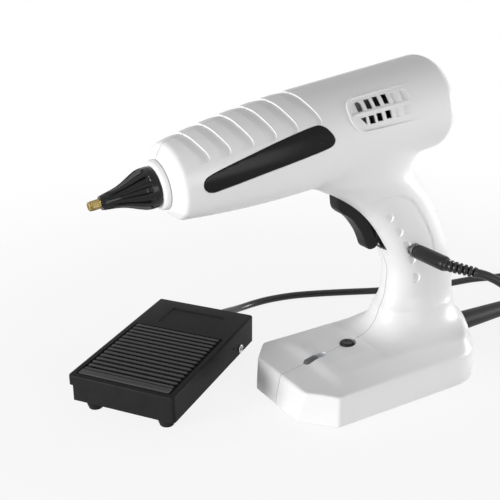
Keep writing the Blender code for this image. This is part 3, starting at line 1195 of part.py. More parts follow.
def controls():
    """Power button with its switch, and the slide switch in its slot."""
    board_top = PLATE_THICK + BOARD_POST_HEIGHT + BOARD_THICK
    flange_top = strip_height(BUTTON_X) - BUTTON_FLANGE_DROP
    flange_low = flange_top - BUTTON_RISE
    stem_low = flange_low - 2 * BUTTON_STEM_RADIUS
    profile = [(0.0, BUTTON_TOP), (BUTTON_RADIUS * 0.8, BUTTON_TOP - BUTTON_RISE * 0.2),
               (BUTTON_RADIUS, BUTTON_TOP - BUTTON_RISE), (BUTTON_RADIUS, flange_top),
               (BUTTON_FLANGE_RADIUS, flange_top), (BUTTON_FLANGE_RADIUS, flange_low),
               (BUTTON_STEM_RADIUS, flange_low), (BUTTON_STEM_RADIUS, stem_low), (0.0, stem_low)]
    button = keep("power_button", turned(profile, SMALL_STEPS), BLACK)
    button.location = (BUTTON_X, 0.0, 0.0)
    top = stem_low - BUTTON_TRAVEL - RUN_GAP
    low = board_top + FIT_GAP
    keep("power_switch_body", block((2 * POWER_SWITCH_HALF, 2 * POWER_SWITCH_HALF, top - low),
                                    (BUTTON_X, 0.0, (top + low) / 2)), MATT_BLACK)
    channel = SLIDER_LENGTH - 2 * FIT_GAP
    width = SLIDER_WIDTH - 2 * FIT_GAP
    knob_low = KNOB_RISE - KNOB_HEIGHT
    plate_top = knob_low - RUN_GAP
    plate_low = plate_top - SLIDER_PLATE_THICK
    strip = keep("slider_plate", flat_plate(stadium(channel, width), plate_low, plate_top), CLEAR, slider_frame)
    stem_x = KNOB_LENGTH / 2 + FIT_GAP - SLIDER_LENGTH / 2
    gap = 2 * (KNOB_STEM_HALF + RUN_GAP)
    shaped(strip, "DIFFERENCE", block((SLIDER_TRAVEL + gap, gap, SLIDER_LENGTH),
                                      (stem_x + SLIDER_TRAVEL / 2, 0.0, 0.0)))
    knob = keep("mode_slider", flat_plate(stadium(KNOB_LENGTH, width), knob_low, KNOB_RISE), GREY, slider_frame)
    stem_low = plate_low - FIT_GAP - KNOB_HEIGHT / 2
    shaped(knob, "UNION", block((2 * KNOB_STEM_HALF, 2 * KNOB_STEM_HALF, knob_low - stem_low + KNOB_HEIGHT / 2),
                                (0.0, 0.0, (knob_low + KNOB_HEIGHT / 2 + stem_low) / 2)))
    knob.location = (stem_x, 0.0, 0.0)
    body_top = plate_low - FIT_GAP
    body = keep("slider_switch_body", block((MODE_SWITCH_LENGTH, 2 * MODE_SWITCH_HALF_WIDTH, MODE_SWITCH_HEIGHT),
                                            (0.0, 0.0, body_top - MODE_SWITCH_HEIGHT / 2)), MATT_BLACK, slider_frame)
    shaped(body, "DIFFERENCE", block((SLIDER_TRAVEL + gap, gap, 2 * KNOB_HEIGHT),
                                     (stem_x + SLIDER_TRAVEL / 2, 0.0, body_top)))


def board():
    """Circuit board on the plate's posts, with its larger parts soldered to it."""
    low = PLATE_THICK + BOARD_POST_HEIGHT
    top = low + BOARD_THICK
    item = keep("circuit_board", block((BOARD_LENGTH, BOARD_WIDTH, BOARD_THICK), (BOARD_X, 0.0, (low + top) / 2)),
                BOARD_GREEN)
    sunk = top - BOARD_THICK / 2
    parts = []
    for x, y, length, width, height in BOARD_PART_SHARES:
        size = (length * BOARD_LENGTH, width * BOARD_WIDTH, height * BOARD_PART_HEIGHT)
        parts.append(block(size, (BOARD_X + x * BOARD_LENGTH / 2, y * BOARD_WIDTH / 2, sunk + size[2] / 2)))
    for x, y, radius, height in BOARD_CAN_SHARES:
        spot = (BOARD_X + x * BOARD_LENGTH / 2, y * BOARD_WIDTH / 2)
        parts.append(rod(radius * BOARD_PART_HEIGHT, (*spot, sunk), (*spot, sunk + height * BOARD_PART_HEIGHT)))
    shaped(item, "UNION", gathered(parts))


controls()
board()


# Mains lead


def mains():
    """Boot in the rear hump, the free stretch of the lead, its coil and its plug."""
    start = HUMP_END_X + FIT_GAP
    end = start + BOOT_LENGTH
    flange_end = BASE_HALF_LENGTH - 2 * SHELL_WALL - FIT_GAP
    boot = turned([(0.0, end), (BOOT_END_RADIUS, end), (BOOT_START_RADIUS, start), (BOOT_NECK_RADIUS, start),
                   (BOOT_NECK_RADIUS, flange_end), (BOOT_FLANGE_RADIUS, flange_end),
                   (BOOT_FLANGE_RADIUS, flange_end - BOOT_FLANGE_THICK), (0.0, flange_end - BOOT_FLANGE_THICK)], 20)
    keep("cable_boot", aimed(boot, Matrix.Translation((0.0, 0.0, LEAD_HEIGHT)) @ ALONG_X), RUBBER)
    step = CORD_STEP_DIAMETERS * 2 * LEAD_RADIUS
    keep("mains_lead", tube(smooth_route(LEAD_ROUTE, step / 2), LEAD_RADIUS), BLACK)
    coil = coil_points(LEAD_COIL_CENTRE, LEAD_COIL_RADIUS, LEAD_RADIUS, LEAD_COIL_TURNS, math.pi / 2, 0.0)
    coil += [Vector(place) for place in LEAD_LEAVE_ROUTE]
    coil = straight_ends(coil, LEAD_RADIUS, (-1, 0, 0), (-1, 0, 0))
    print("mains_lead_coil least gap to itself, mm:", round(least_gap(coil, LEAD_RADIUS) * 1000, 3))
    keep("mains_lead_coil", tube(coil, LEAD_RADIUS, 1), BLACK)
    tail = coil[-1]
    face = tail.x - FIT_GAP
    plug = keep("mains_plug", block((PLUG_LENGTH, 2 * PLUG_HALF_WIDTH, 2 * PLUG_HALF_HEIGHT),
                                    (face - PLUG_LENGTH / 2, tail.y, PLUG_HALF_HEIGHT)), BLACK)
    softened(plug, PLUG_ROUND, 2)
    plug.data = baked(plug)
    plug.modifiers.clear()
    pin_face = face - PLUG_LENGTH
    pins = [rod(PLUG_PIN_RADIUS, (pin_face + PLUG_ROUND, tail.y + side * PLUG_PIN_SPACING / 2, PLUG_HALF_HEIGHT),
                (pin_face - PLUG_PIN_LENGTH, tail.y + side * PLUG_PIN_SPACING / 2, PLUG_HALF_HEIGHT))
            for side in (-1, 1)]
    shaped(plug, "UNION", gathered(pins))


mains()


# Pedal


def pedal_side(inset, low, slope=True):
    """Side outline of the pedal's box, drawn in by an amount on every side but the bottom."""
    reach = PEDAL_LENGTH / 2 - inset
    rise = PEDAL_TOP_RISE if slope else 0.0
    return [(-reach, low), (reach, low), (reach, PEDAL_TOP_Z + rise - inset), (-reach, PEDAL_TOP_Z - inset)]


def pedal_cover():
    """Rocking cover with a ribbed field, a bare plate area and an open side notch."""
    cover = keep("pedal_cover", plate(pedal_side(0.0, PEDAL_SKIRT_Z), PEDAL_WIDTH), MATT_BLACK, pedal_frame)
    softened(cover, PEDAL_WALL / 3, 2)
    cover.data = baked(cover)
    cover.modifiers.clear()
    slope = Matrix.Rotation(-math.atan2(PEDAL_TOP_RISE, PEDAL_LENGTH), 4, "Y")
    top = Matrix.Translation((0.0, 0.0, PEDAL_TOP_Z + PEDAL_TOP_RISE / 2)) @ slope
    rear_rib = (PEDAL_RIB_COUNT - 1) * PEDAL_RIB_PITCH - PEDAL_RIB_START
    field_start = -PEDAL_RIB_START - PEDAL_RIB_PITCH - PEDAL_FIELD_MARGIN
    field_end = rear_rib + PEDAL_RIB_RADIUS + PEDAL_FIELD_MARGIN
    field = block((field_end - field_start, PEDAL_RIB_LENGTH, 2 * PEDAL_FIELD_DEPTH),
                  ((field_start + field_end) / 2, 0.0, 0.0))
    plate_cut = block((PEDAL_PLATE_LENGTH, PEDAL_PLATE_WIDTH, 2 * PEDAL_PLATE_RECESS), (PEDAL_PLATE_X, 0.0, 0.0))
    shaped(cover, "DIFFERENCE", plate(pedal_side(PEDAL_WALL, PEDAL_SKIRT_Z - CUT_OVERRUN),
                                      PEDAL_WIDTH - 2 * PEDAL_WALL), aimed(field, top), aimed(plate_cut, top))
    half_rib = PEDAL_RIB_LENGTH / 2 - PEDAL_FIELD_DEPTH
    ribs = [rod(PEDAL_RIB_RADIUS, (x, -half_rib, -PEDAL_RIB_RADIUS / 2), (x, half_rib, -PEDAL_RIB_RADIUS / 2), 8)
            for x in [index * PEDAL_RIB_PITCH - PEDAL_RIB_START for index in range(PEDAL_RIB_COUNT)]]
    ribs.append(block((PEDAL_WIDE_RIB, 2 * half_rib, 2 * PEDAL_RIB_RADIUS),
                      (-PEDAL_RIB_START - PEDAL_RIB_PITCH, 0.0, -PEDAL_RIB_RADIUS / 2)))
    shaped(cover, "UNION", aimed(gathered(ribs), top),
           rod(PEDAL_POST_RADIUS, (PEDAL_SWITCH_X, PEDAL_SWITCH_Y, PLUNGER_TIP_Z + RUN_GAP),
               (PEDAL_SWITCH_X, PEDAL_SWITCH_Y, PEDAL_TOP_Z + (PEDAL_TOP_RISE - PEDAL_WALL) / 2)))
    notch_y = PEDAL_WIDTH / 2 - PEDAL_NOTCH / 2 + CUT_OVERRUN / 2
    notch_low = PEDAL_SKIRT_Z - CUT_OVERRUN
    gland_room = GLAND_RADIUS + 3 * RUN_GAP
    gland_top = GLAND_Z + gland_room
    shaped(cover, "DIFFERENCE",
           block((PEDAL_LENGTH + CUT_OVERRUN, PEDAL_NOTCH + CUT_OVERRUN, PEDAL_NOTCH_Z - notch_low),
                 (0.0, notch_y, (PEDAL_NOTCH_Z + notch_low) / 2)),
           block((4 * PEDAL_WALL, 2 * gland_room, gland_top - notch_low),
                 (PEDAL_LENGTH / 2, 0.0, (gland_top + notch_low) / 2)),
           across(PEDAL_PIN_RADIUS + RUN_GAP, PEDAL_PIN_X, PEDAL_PIN_Z, half=PEDAL_WIDTH))


def pedal_base():
    """Tray under the cover, its feet, the hinge pin, the return spring and the switch with its plunger."""
    inset = PEDAL_WALL + PEDAL_SIDE_GAP
    length, width = PEDAL_LENGTH - 2 * inset, PEDAL_WIDTH - 2 * inset
    height = PEDAL_TRAY_TOP - PEDAL_BASE_Z
    tray = keep("pedal_base", block((length, width, height), (0.0, 0.0, PEDAL_BASE_Z + height / 2)), MATT_BLACK,
                pedal_frame)
    floor = PEDAL_BASE_Z + PEDAL_TRAY_FLOOR
    room = PEDAL_TRAY_TOP + CUT_OVERRUN - floor
    shaped(tray, "DIFFERENCE",
           block((length - 2 * PEDAL_WALL, width - 2 * PEDAL_WALL, room), (0.0, 0.0, floor + room / 2)),
           across(PEDAL_PIN_RADIUS + FIT_GAP, PEDAL_PIN_X, PEDAL_PIN_Z, half=PEDAL_WIDTH),
           rod(GLAND_NECK_RADIUS + FIT_GAP, (length / 2 - 2 * PEDAL_WALL, 0.0, GLAND_Z),
               (length / 2 + PEDAL_WALL, 0.0, GLAND_Z), SMALL_STEPS))
    corners = {"front_left": (-1, 1), "front_right": (-1, -1), "rear_left": (1, 1), "rear_right": (1, -1)}
    for name, (x, y) in corners.items():
        spot = (x * (length / 2 - PEDAL_FOOT_INSET), y * (width / 2 - PEDAL_FOOT_INSET))
        keep("pedal_foot_" + name, rod(PEDAL_FOOT_TIP_RADIUS, (*spot, 0.0), (*spot, PEDAL_BASE_Z - FIT_GAP),
                                       SMALL_STEPS, PEDAL_FOOT_RADIUS), RUBBER, pedal_frame)
    pin_half = PEDAL_WIDTH / 2 + FIT_GAP
    pin = turned([(0.0, pin_half + PEDAL_PIN_HEAD), (PEDAL_PIN_HEAD_RADIUS, pin_half + PEDAL_PIN_HEAD * 0.6),
                  (PEDAL_PIN_HEAD_RADIUS, pin_half), (PEDAL_PIN_RADIUS, pin_half),
                  (PEDAL_PIN_RADIUS, -PEDAL_WIDTH / 2), (0.0, -PEDAL_WIDTH / 2)], SMALL_STEPS)
    pin_place = Matrix.Translation((PEDAL_PIN_X, 0.0, PEDAL_PIN_Z)) @ ALONG_MINUS_Y
    keep("pedal_hinge_pin", aimed(pin, pin_place), STEEL, pedal_frame)
    under = PEDAL_TOP_Z - PEDAL_WALL + PEDAL_TOP_RISE * (PEDAL_SPRING_X / PEDAL_LENGTH + 0.5)
    low = floor + FIT_GAP + PEDAL_SPRING_WIRE / 2
    high = under - 2 * FIT_GAP - PEDAL_SPRING_WIRE / 2
    coil = [Vector((PEDAL_SPRING_X + PEDAL_SPRING_RADIUS * math.cos(angle),
                    PEDAL_SPRING_RADIUS * math.sin(angle), low + (high - low) * share))
            for share in np.linspace(0.0, 1.0, 8 * PEDAL_SPRING_TURNS + 1)
            for angle in [PEDAL_SPRING_TURNS * math.tau * share]]
    keep("pedal_spring", tube(coil, PEDAL_SPRING_WIRE / 2, 1), STEEL, pedal_frame)
    seat = floor + FIT_GAP
    spot = (PEDAL_SWITCH_X, PEDAL_SWITCH_Y)
    switch = keep("pedal_switch", block((SWITCH_LENGTH, 2 * SWITCH_HALF_WIDTH, PEDAL_SWITCH_HEIGHT),
                                        (*spot, seat + PEDAL_SWITCH_HEIGHT / 2)), MATT_BLACK, pedal_frame)
    top = seat + PEDAL_SWITCH_HEIGHT
    shaped(switch, "DIFFERENCE", rod(PLUNGER_RADIUS + FIT_GAP, (*spot, top + CUT_OVERRUN),
                                     (*spot, top - PLUNGER_DEPTH - PEDAL_PLUNGER_REACH)))
    keep("pedal_switch_plunger", rod(PLUNGER_RADIUS, (*spot, top - PLUNGER_DEPTH), (*spot, PLUNGER_TIP_Z)), WHITE,
         pedal_frame)


def pedal_cord():
    """Gland in the tray's rear wall, the run along the floor, the coil and the tail up to the plug."""
    wall = PEDAL_LENGTH / 2 - PEDAL_WALL - PEDAL_SIDE_GAP
    outer = wall + FIT_GAP
    inner = wall - PEDAL_WALL
    gland = turned([(0.0, outer + GLAND_LENGTH), (GLAND_END_RADIUS, outer + GLAND_LENGTH), (GLAND_RADIUS, outer),
                    (GLAND_NECK_RADIUS, outer), (GLAND_NECK_RADIUS, inner), (0.0, inner)], SMALL_STEPS)
    keep("pedal_cord_gland", aimed(gland, Matrix.Translation((0.0, 0.0, GLAND_Z)) @ ALONG_X), RUBBER, pedal_frame)
    step = CORD_STEP_DIAMETERS * 2 * CORD_RADIUS
    keep("pedal_cord_run", tube(smooth_route(CORD_RUN_ROUTE, step), CORD_RADIUS), BLACK)
    coil = coil_points(CORD_COIL_CENTRE, CORD_COIL_RADIUS, CORD_RADIUS, CORD_COIL_TURNS, math.pi / 2, 0.0)
    coil = straight_ends(coil, CORD_RADIUS, (-1, 0, 0), (0, -1, 0))
    print("pedal_cord_coil least gap to itself, mm:", round(least_gap(coil, CORD_RADIUS) * 1000, 3))
    keep("pedal_cord_coil", tube(coil, CORD_RADIUS, 1), BLACK)
    keep("pedal_cord_tail", tube(smooth_route(CORD_TAIL_ROUTE, step), CORD_RADIUS), BLACK)


pedal_cover()
pedal_base()
pedal_cord()
bpy.context.view_layer.update()
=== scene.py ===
"""Hot melt glue machine with a foot pedal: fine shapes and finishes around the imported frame, in metres."""
import logging
import math
from dataclasses import dataclass
from enum import Enum
from typing import Callable, Sequence

import bmesh
import bpy
import numpy as np
from mathutils import Matrix, Vector
from mathutils.geometry import delaunay_2d_cdt


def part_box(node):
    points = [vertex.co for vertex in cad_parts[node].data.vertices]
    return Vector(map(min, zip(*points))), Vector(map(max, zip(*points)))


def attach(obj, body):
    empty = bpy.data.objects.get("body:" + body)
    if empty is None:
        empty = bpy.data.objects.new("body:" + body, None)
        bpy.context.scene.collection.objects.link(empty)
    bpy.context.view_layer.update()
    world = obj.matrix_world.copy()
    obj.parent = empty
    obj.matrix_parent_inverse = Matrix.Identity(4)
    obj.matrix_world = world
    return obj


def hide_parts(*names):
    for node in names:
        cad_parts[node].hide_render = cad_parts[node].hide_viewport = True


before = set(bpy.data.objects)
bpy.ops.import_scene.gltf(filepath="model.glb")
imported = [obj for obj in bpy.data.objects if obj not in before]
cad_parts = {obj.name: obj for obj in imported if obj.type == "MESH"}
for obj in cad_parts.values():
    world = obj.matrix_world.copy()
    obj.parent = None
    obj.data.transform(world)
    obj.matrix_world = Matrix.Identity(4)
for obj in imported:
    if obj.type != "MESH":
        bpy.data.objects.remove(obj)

LOG = logging.getLogger("glue_machine")

Point = Sequence[float]
Pair = tuple[float, float]
Hue = tuple[float, float, float]
Placer = Callable[[float, float, float], Point]

FIT_GAP = 0.0003
OVERRUN = 0.003
TINY = 1e-9
MERGE = 1e-7
QUARTER = math.pi / 2


class Slot(Enum):
    """Material slots of the record that the new pieces' finishes stand for."""

    WHITE = "white_plastic"
    LABEL = "label_black"
    CAP = "nozzle_black"
    BRASS = "brass_tip"
    BLACK = "black_plastic"
    RUBBER = "black_rubber"
    CORD = "cord_black"
    STEEL = "steel"
    DARK = "dark_grey"
    PALE = "small_white"


class Side(Enum):
    """Near side, where the label is, and far side of the gun, as signs of Y."""

    NEAR = -1
    FAR = 1


class Work(Enum):
    """What is done to a solid with tools."""

    CUT = "DIFFERENCE"
    JOIN = "UNION"
    KEEP = "INTERSECT"


# Shader bench


class Wire:
    """A node's output socket that values can be written with as sums and products."""

    def __init__(self, bench: "Bench", socket: bpy.types.NodeSocket) -> None:
        """Keep the socket and the bench whose tree it is in."""
        self.bench = bench
        self.socket = socket

    def _math(self, operation: str, *terms: "Wire | float") -> "Wire":
        """A Math node on the terms in order."""
        return self.bench.add("ShaderNodeMath", {"operation": operation}, dict(enumerate(terms)))

    def __add__(self, other: "Wire | float") -> "Wire":
        """Sum."""
        return self._math("ADD", self, other)

    __radd__ = __add__

    def __sub__(self, other: "Wire | float") -> "Wire":
        """Difference."""
        return self._math("SUBTRACT", self, other)

    def __rsub__(self, other: float) -> "Wire":
        """Difference from a number."""
        return self._math("SUBTRACT", other, self)

    def __mul__(self, other: "Wire | float") -> "Wire":
        """Product."""
        return self._math("MULTIPLY", self, other)

    __rmul__ = __mul__

    def sine(self) -> "Wire":
        """Sine of the value."""
        return self._math("SINE", self)

    def above(self, low: float, high: float) -> "Wire":
        """Smooth rise from 0 to 1 between two values."""
        return self.bench.add("ShaderNodeMapRange", {"interpolation_type": "SMOOTHSTEP"},
                              {"Value": self, "From Min": low, "From Max": high})

    def along(self, axis: Point) -> "Wire":
        """Part of a vector that lies along an axis."""
        return self.bench.add("ShaderNodeVectorMath", {"operation": "DOT_PRODUCT"}, {0: self, 1: tuple(axis)},
                              output=1)

    def stretched(self, scale: Point) -> "Wire":
        """Vector times a scale for each axis."""
        return self.bench.add("ShaderNodeVectorMath", {"operation": "MULTIPLY"}, {0: self, 1: tuple(scale)})


class Bench:
    """The node tree of one material while it is made."""

    def __init__(self, name: str) -> None:
        """Start an empty node tree in a new material."""
        self.material = bpy.data.materials.new(name)
        self.material.use_nodes = True
        self.tree = self.material.node_tree
        self.tree.nodes.clear()

    @classmethod
    def of_tree(cls, tree: bpy.types.NodeTree) -> "Bench":
        """A bench on an emptied tree that isn't a material's."""
        bench = cls.__new__(cls)
        bench.tree = tree
        tree.nodes.clear()
        return bench

    def add(self, kind: str, settings: dict | None = None, inputs: dict | None = None,
            output: int | str = 0) -> Wire:
        """Add a node.

        Args:
            kind: the node's type.
            settings: its own settings, set first.
            inputs: values or wires for its sockets, by name or number.
            output: the output socket that is returned.

        Returns:
            A wire from that output.
        """
        node = self.tree.nodes.new(kind)
        for key, value in (settings or {}).items():
            setattr(node, key, value)
        for key, value in (inputs or {}).items():
            if isinstance(value, Wire):
                self.tree.links.new(value.socket, node.inputs[key])
            else:
                node.inputs[key].default_value = value
        return Wire(self, node.outputs[output])

    def place(self) -> Wire:
        """Place on the piece, in metres."""
        return self.add("ShaderNodeTexCoord", output="Object")

    def noise(self, place: Wire, size: float, detail: float = 2.0, rough: float = 0.5) -> Wire:
        """Soft noise with features of about a size."""
        return self.add("ShaderNodeTexNoise", None,
                        {"Vector": place, "Scale": 1 / size, "Detail": detail, "Roughness": rough})

    def cells(self, place: Wire, size: float) -> Wire:
        """Distance to the nearest of scattered points about a size apart."""
        return self.add("ShaderNodeTexVoronoi", None, {"Vector": place, "Scale": 1 / size})

    def blend(self, share: Wire | float, first: Wire | Hue, second: Wire | Hue) -> Wire:
        """Colour between two colours."""
        ends = {6: first, 7: second}
        inputs = {key: value if isinstance(value, Wire) else (*value, 1.0) for key, value in ends.items()}
        return self.add("ShaderNodeMix", {"data_type": "RGBA"}, {0: share, **inputs}, output=2)

    def bump(self, height: Wire, depth: float) -> Wire:
        """Normal that follows a height of a depth in metres."""
        return self.add("ShaderNodeBump", None, {"Height": height, "Distance": depth, "Strength": 1.0})

    def surface(self, **inputs: Wire | float | Hue) -> bpy.types.Material:
        """Close the tree with a Principled shader.

        Args:
            inputs: values or wires by socket name, with underscores for spaces.

        Returns:
            The finished material.
        """
        named = {}
        for key, value in inputs.items():
            name = " ".join(word if word == "IOR" else word.capitalize() for word in key.split("_"))
            named[name] = (*value, 1.0) if isinstance(value, tuple) else value
        shader = self.add("ShaderNodeBsdfPrincipled", None, named)
        return self.close(shader)

    def close(self, shader: Wire) -> bpy.types.Material:
        """Link a shader to the material's output and return the material."""
        node = self.tree.nodes.new("ShaderNodeOutputMaterial")
        self.tree.links.new(shader.socket, node.inputs["Surface"])
        return self.material


def tinted(colour: Hue, factor: float) -> Hue:
    """Colour made lighter or darker by a factor."""
    return tuple(min(part * factor, 1.0) for part in colour)


# Finishes

DUST = (0.42, 0.41, 0.40)


@dataclass(frozen=True)
class MouldedPlastic:
    """Injection-moulded plastic with a fine eroded grain, faint flow clouds and a trace of dust."""

    name: str
    colour: Hue
    roughness: float = 0.42
    grain_size: float = 0.00045
    grain_depth: float = 0.000016
    cloud: float = 0.035
    coat: float = 0.0
    dust: float = 0.0
    specular: float = 0.5

    def make(self) -> bpy.types.Material:
        """Build the material."""
        bench = Bench(self.name)
        place = bench.place()
        cloud = bench.noise(place, 0.045, 3.0)
        grain = bench.noise(place, self.grain_size, 2.0, 0.6)
        pores = bench.cells(place, self.grain_size * 1.7)
        colour = bench.blend(cloud, tinted(self.colour, 1 - self.cloud), tinted(self.colour, 1 + self.cloud))
        if self.dust:
            specks = bench.noise(place, 0.0012, 4.0, 0.7).above(0.60, 0.78) * self.dust
            colour = bench.blend(specks, colour, DUST)
        rough = (grain - 0.5) * 0.16 + (cloud - 0.5) * 0.10 + self.roughness
        height = grain * 0.65 + pores * 0.35
        return bench.surface(base_color=colour, roughness=rough, coat_weight=self.coat, coat_roughness=0.12,
                             specular_IOR_level=self.specular, normal=bench.bump(height, self.grain_depth))


@dataclass(frozen=True)
class RibbedPlastic:
    """Black moulded plastic whose raised ribs carry a painted highlight: a paler grey painted along their
    tops.
    """

    name: str
    colour: Hue
    # Paler grey of the painted highlight on the rib tops
    crest_highlight: Hue
    crest: tuple[Point, float]
    roughness: float = 0.34

    def make(self) -> bpy.types.Material:
        """Build the material."""
        bench = Bench(self.name)
        place = bench.place()
        direction, level = self.crest
        height = place.along(direction) - level
        cloud = bench.noise(place, 0.010, 4.0, 0.6)
        grain = bench.noise(place, 0.0006, 2.0, 0.6)
        streak = bench.noise(place.stretched((1.0, 1.0, 8.0)), 0.003, 4.0, 0.7)
        # Painted highlight: the rib tops, just above the top face, blend to the paler grey with streaky
        # strength
        highlight_share = height.above(0.00005, 0.00055) * (streak * 0.5 + 0.75)
        dark = bench.blend(cloud, tinted(self.colour, 0.8), tinted(self.colour, 1.3))
        specks = bench.noise(place, 0.0011, 4.0, 0.7).above(0.64, 0.80) * 0.05
        colour = bench.blend(specks, bench.blend(highlight_share, dark, self.crest_highlight), DUST)
        rough = (grain - 0.5) * 0.14 + (cloud - 0.5) * 0.12 + self.roughness
        return bench.surface(base_color=colour, roughness=rough, specular_IOR_level=0.03,
                             normal=bench.bump(grain, 0.00003))


@dataclass(frozen=True)
class GlossPanel:
    """Glossy film panel: near-black with fine scratches under a clear coat."""

    name: str
    colour: Hue
    roughness: float = 0.22

    def make(self) -> bpy.types.Material:
        """Build the material."""
        bench = Bench(self.name)
        place = bench.place()
        streak = bench.noise(place.stretched((1.0, 6.0, 14.0)), 0.006, 4.0, 0.65)
        cloud = bench.noise(place, 0.018, 2.0)
        colour = bench.blend(cloud, tinted(self.colour, 0.85), tinted(self.colour, 1.25))
        rough = streak.above(0.52, 0.72) * 0.14 + self.roughness
        return bench.surface(base_color=colour, roughness=rough, specular_IOR_level=0.12,
                             normal=bench.bump(cloud, 0.00003))


@dataclass(frozen=True)
class Rubber:
    """Moulded rubber: matt, finely pitted, a little paler where it is handled."""

    name: str
    colour: Hue
    roughness: float = 0.62
    pit_size: float = 0.0007
    sheen: float = 0.03
    specular: float = 0.25

    def make(self) -> bpy.types.Material:
        """Build the material."""
        bench = Bench(self.name)
        place = bench.place()
        pits = bench.cells(place, self.pit_size)
        cloud = bench.noise(place, 0.012, 4.0, 0.6)
        colour = bench.blend(cloud.above(0.35, 0.75), tinted(self.colour, 0.85), tinted(self.colour, 1.5))
        rough = (cloud - 0.5) * 0.22 + self.roughness
        return bench.surface(base_color=colour, roughness=rough, sheen_weight=self.sheen,
                             specular_IOR_level=self.specular, normal=bench.bump(pits, 0.00004))


@dataclass(frozen=True)
class CordSheath:
    """Extruded sheath of a cord: smooth and glossy, with slow swells and faint scuffs."""

    name: str
    colour: Hue
    roughness: float = 0.30

    def make(self) -> bpy.types.Material:
        """Build the material."""
        bench = Bench(self.name)
        place = bench.place()
        swell = bench.noise(place, 0.009, 2.0)
        scuff = bench.noise(place, 0.0016, 5.0, 0.7).above(0.56, 0.74)
        colour = bench.blend(scuff, self.colour, tinted(self.colour, 1.9))
        rough = scuff * 0.20 + (swell - 0.5) * 0.08 + self.roughness
        return bench.surface(base_color=colour, roughness=rough, specular_IOR_level=0.4,
                             normal=bench.bump(swell, 0.00018))


@dataclass(frozen=True)
class TurnedMetal:
    """Metal turned on a lathe: fine rings round an axis, with stains."""

    name: str
    colour: Hue
    stain: Hue
    axis: Point
    ring_pitch: float = 0.0003
    roughness: float = 0.28
    stain_amount: float = 0.6

    def make(self) -> bpy.types.Material:
        """Build the material."""
        bench = Bench(self.name)
        place = bench.place()
        rings = (place.along(self.axis) * (math.tau / self.ring_pitch)).sine()
        patch = bench.noise(place, 0.0022, 4.0, 0.65)
        share = patch.above(0.40, 0.72) * self.stain_amount
        colour = bench.blend(share, self.colour, self.stain)
        rough = share * 0.25 + rings * 0.04 + self.roughness
        return bench.surface(base_color=colour, metallic=1.0, roughness=rough,
                             normal=bench.bump(rings * 0.5 + patch, 0.00002))


@dataclass(frozen=True)
class PlatedSteel:
    """Pressed and plated steel: brushed along one direction, with faint stains."""

    name: str
    colour: Hue
    grain: Point = (1.0, 14.0, 14.0)
    roughness: float = 0.32

    def make(self) -> bpy.types.Material:
        """Build the material."""
        bench = Bench(self.name)
        place = bench.place()
        brushed = bench.noise(place.stretched(self.grain), 0.004, 5.0, 0.7)
        patch = bench.noise(place, 0.008, 3.0)
        colour = bench.blend(patch, tinted(self.colour, 0.80), tinted(self.colour, 1.12))
        rough = (brushed - 0.5) * 0.22 + (patch - 0.5) * 0.12 + self.roughness
        return bench.surface(base_color=colour, metallic=1.0, roughness=rough,
                             normal=bench.bump(brushed, 0.000025))


@dataclass(frozen=True)
class CastMetal:
    """Die-cast aluminium: dull, pitted and mottled."""

    name: str
    colour: Hue
    roughness: float = 0.5

    def make(self) -> bpy.types.Material:
        """Build the material."""
        bench = Bench(self.name)
        place = bench.place()
        pits = bench.cells(place, 0.0011)
        mottle = bench.noise(place, 0.005, 5.0, 0.7)
        colour = bench.blend(mottle, tinted(self.colour, 0.7), tinted(self.colour, 1.15))
        rough = (mottle - 0.5) * 0.3 + self.roughness
        return bench.surface(base_color=colour, metallic=1.0, roughness=rough,
                             normal=bench.bump(pits + mottle, 0.00006))


@dataclass(frozen=True)
class WovenSleeve:
    """Glass-fibre sleeve: fine threads laid across each other."""

    name: str
    colour: Hue
    pitch: float = 0.0012

    def make(self) -> bpy.types.Material:
        """Build the material."""
        bench = Bench(self.name)
        place = bench.place()
        lengthwise = (place.along((1.0, 0.0, 0.14)) * (math.tau / self.pitch)).sine()
        crosswise = (place.along((0.0, 0.9, 0.43)) * (math.tau / self.pitch)).sine()
        threads = lengthwise * crosswise
        fuzz = bench.noise(place, 0.0006, 4.0, 0.7)
        colour = bench.blend(threads * 0.5 + 0.5, tinted(self.colour, 0.72), self.colour)
        return bench.surface(base_color=colour, roughness=fuzz * 0.2 + 0.75,
                             normal=bench.bump(threads + fuzz, 0.00012))


@dataclass(frozen=True)
class PrintedBoard:
    """Circuit board: green mask over copper tracks, with a dull sheen."""

    name: str
    mask: Hue
    track: Hue

    def make(self) -> bpy.types.Material:
        """Build the material."""
        bench = Bench(self.name)
        place = bench.place()
        lines = (place.along((1.0, 0.0, 0.0)) * (math.tau / 0.0035)).sine().above(0.45, 0.6)
        rungs = (place.along((0.0, 1.0, 0.0)) * (math.tau / 0.0052)).sine().above(0.6, 0.7)
        fields = bench.noise(place, 0.011, 1.0).above(0.47, 0.5)
        tracks = lines * fields + rungs * (1 - fields)
        colour = bench.blend(tracks, self.mask, self.track)
        return bench.surface(base_color=colour, roughness=tracks * 0.1 + 0.32,
                             normal=bench.bump(tracks, 0.00004))


@dataclass(frozen=True)
class ClearRubber:
    """Milky silicone hose with a soft gloss."""

    name: str
    colour: Hue

    def make(self) -> bpy.types.Material:
        """Build the material."""
        bench = Bench(self.name)
        cloud = bench.noise(bench.place(), 0.006, 3.0)
        colour = bench.blend(cloud, tinted(self.colour, 0.85), self.colour)
        return bench.surface(base_color=colour, roughness=cloud * 0.2 + 0.25, subsurface_weight=0.2,
                             subsurface_scale=0.004, normal=bench.bump(cloud, 0.00008))


BARREL_DIRECTION = (math.cos(math.radians(8.0)), 0.0, math.sin(math.radians(8.0)))


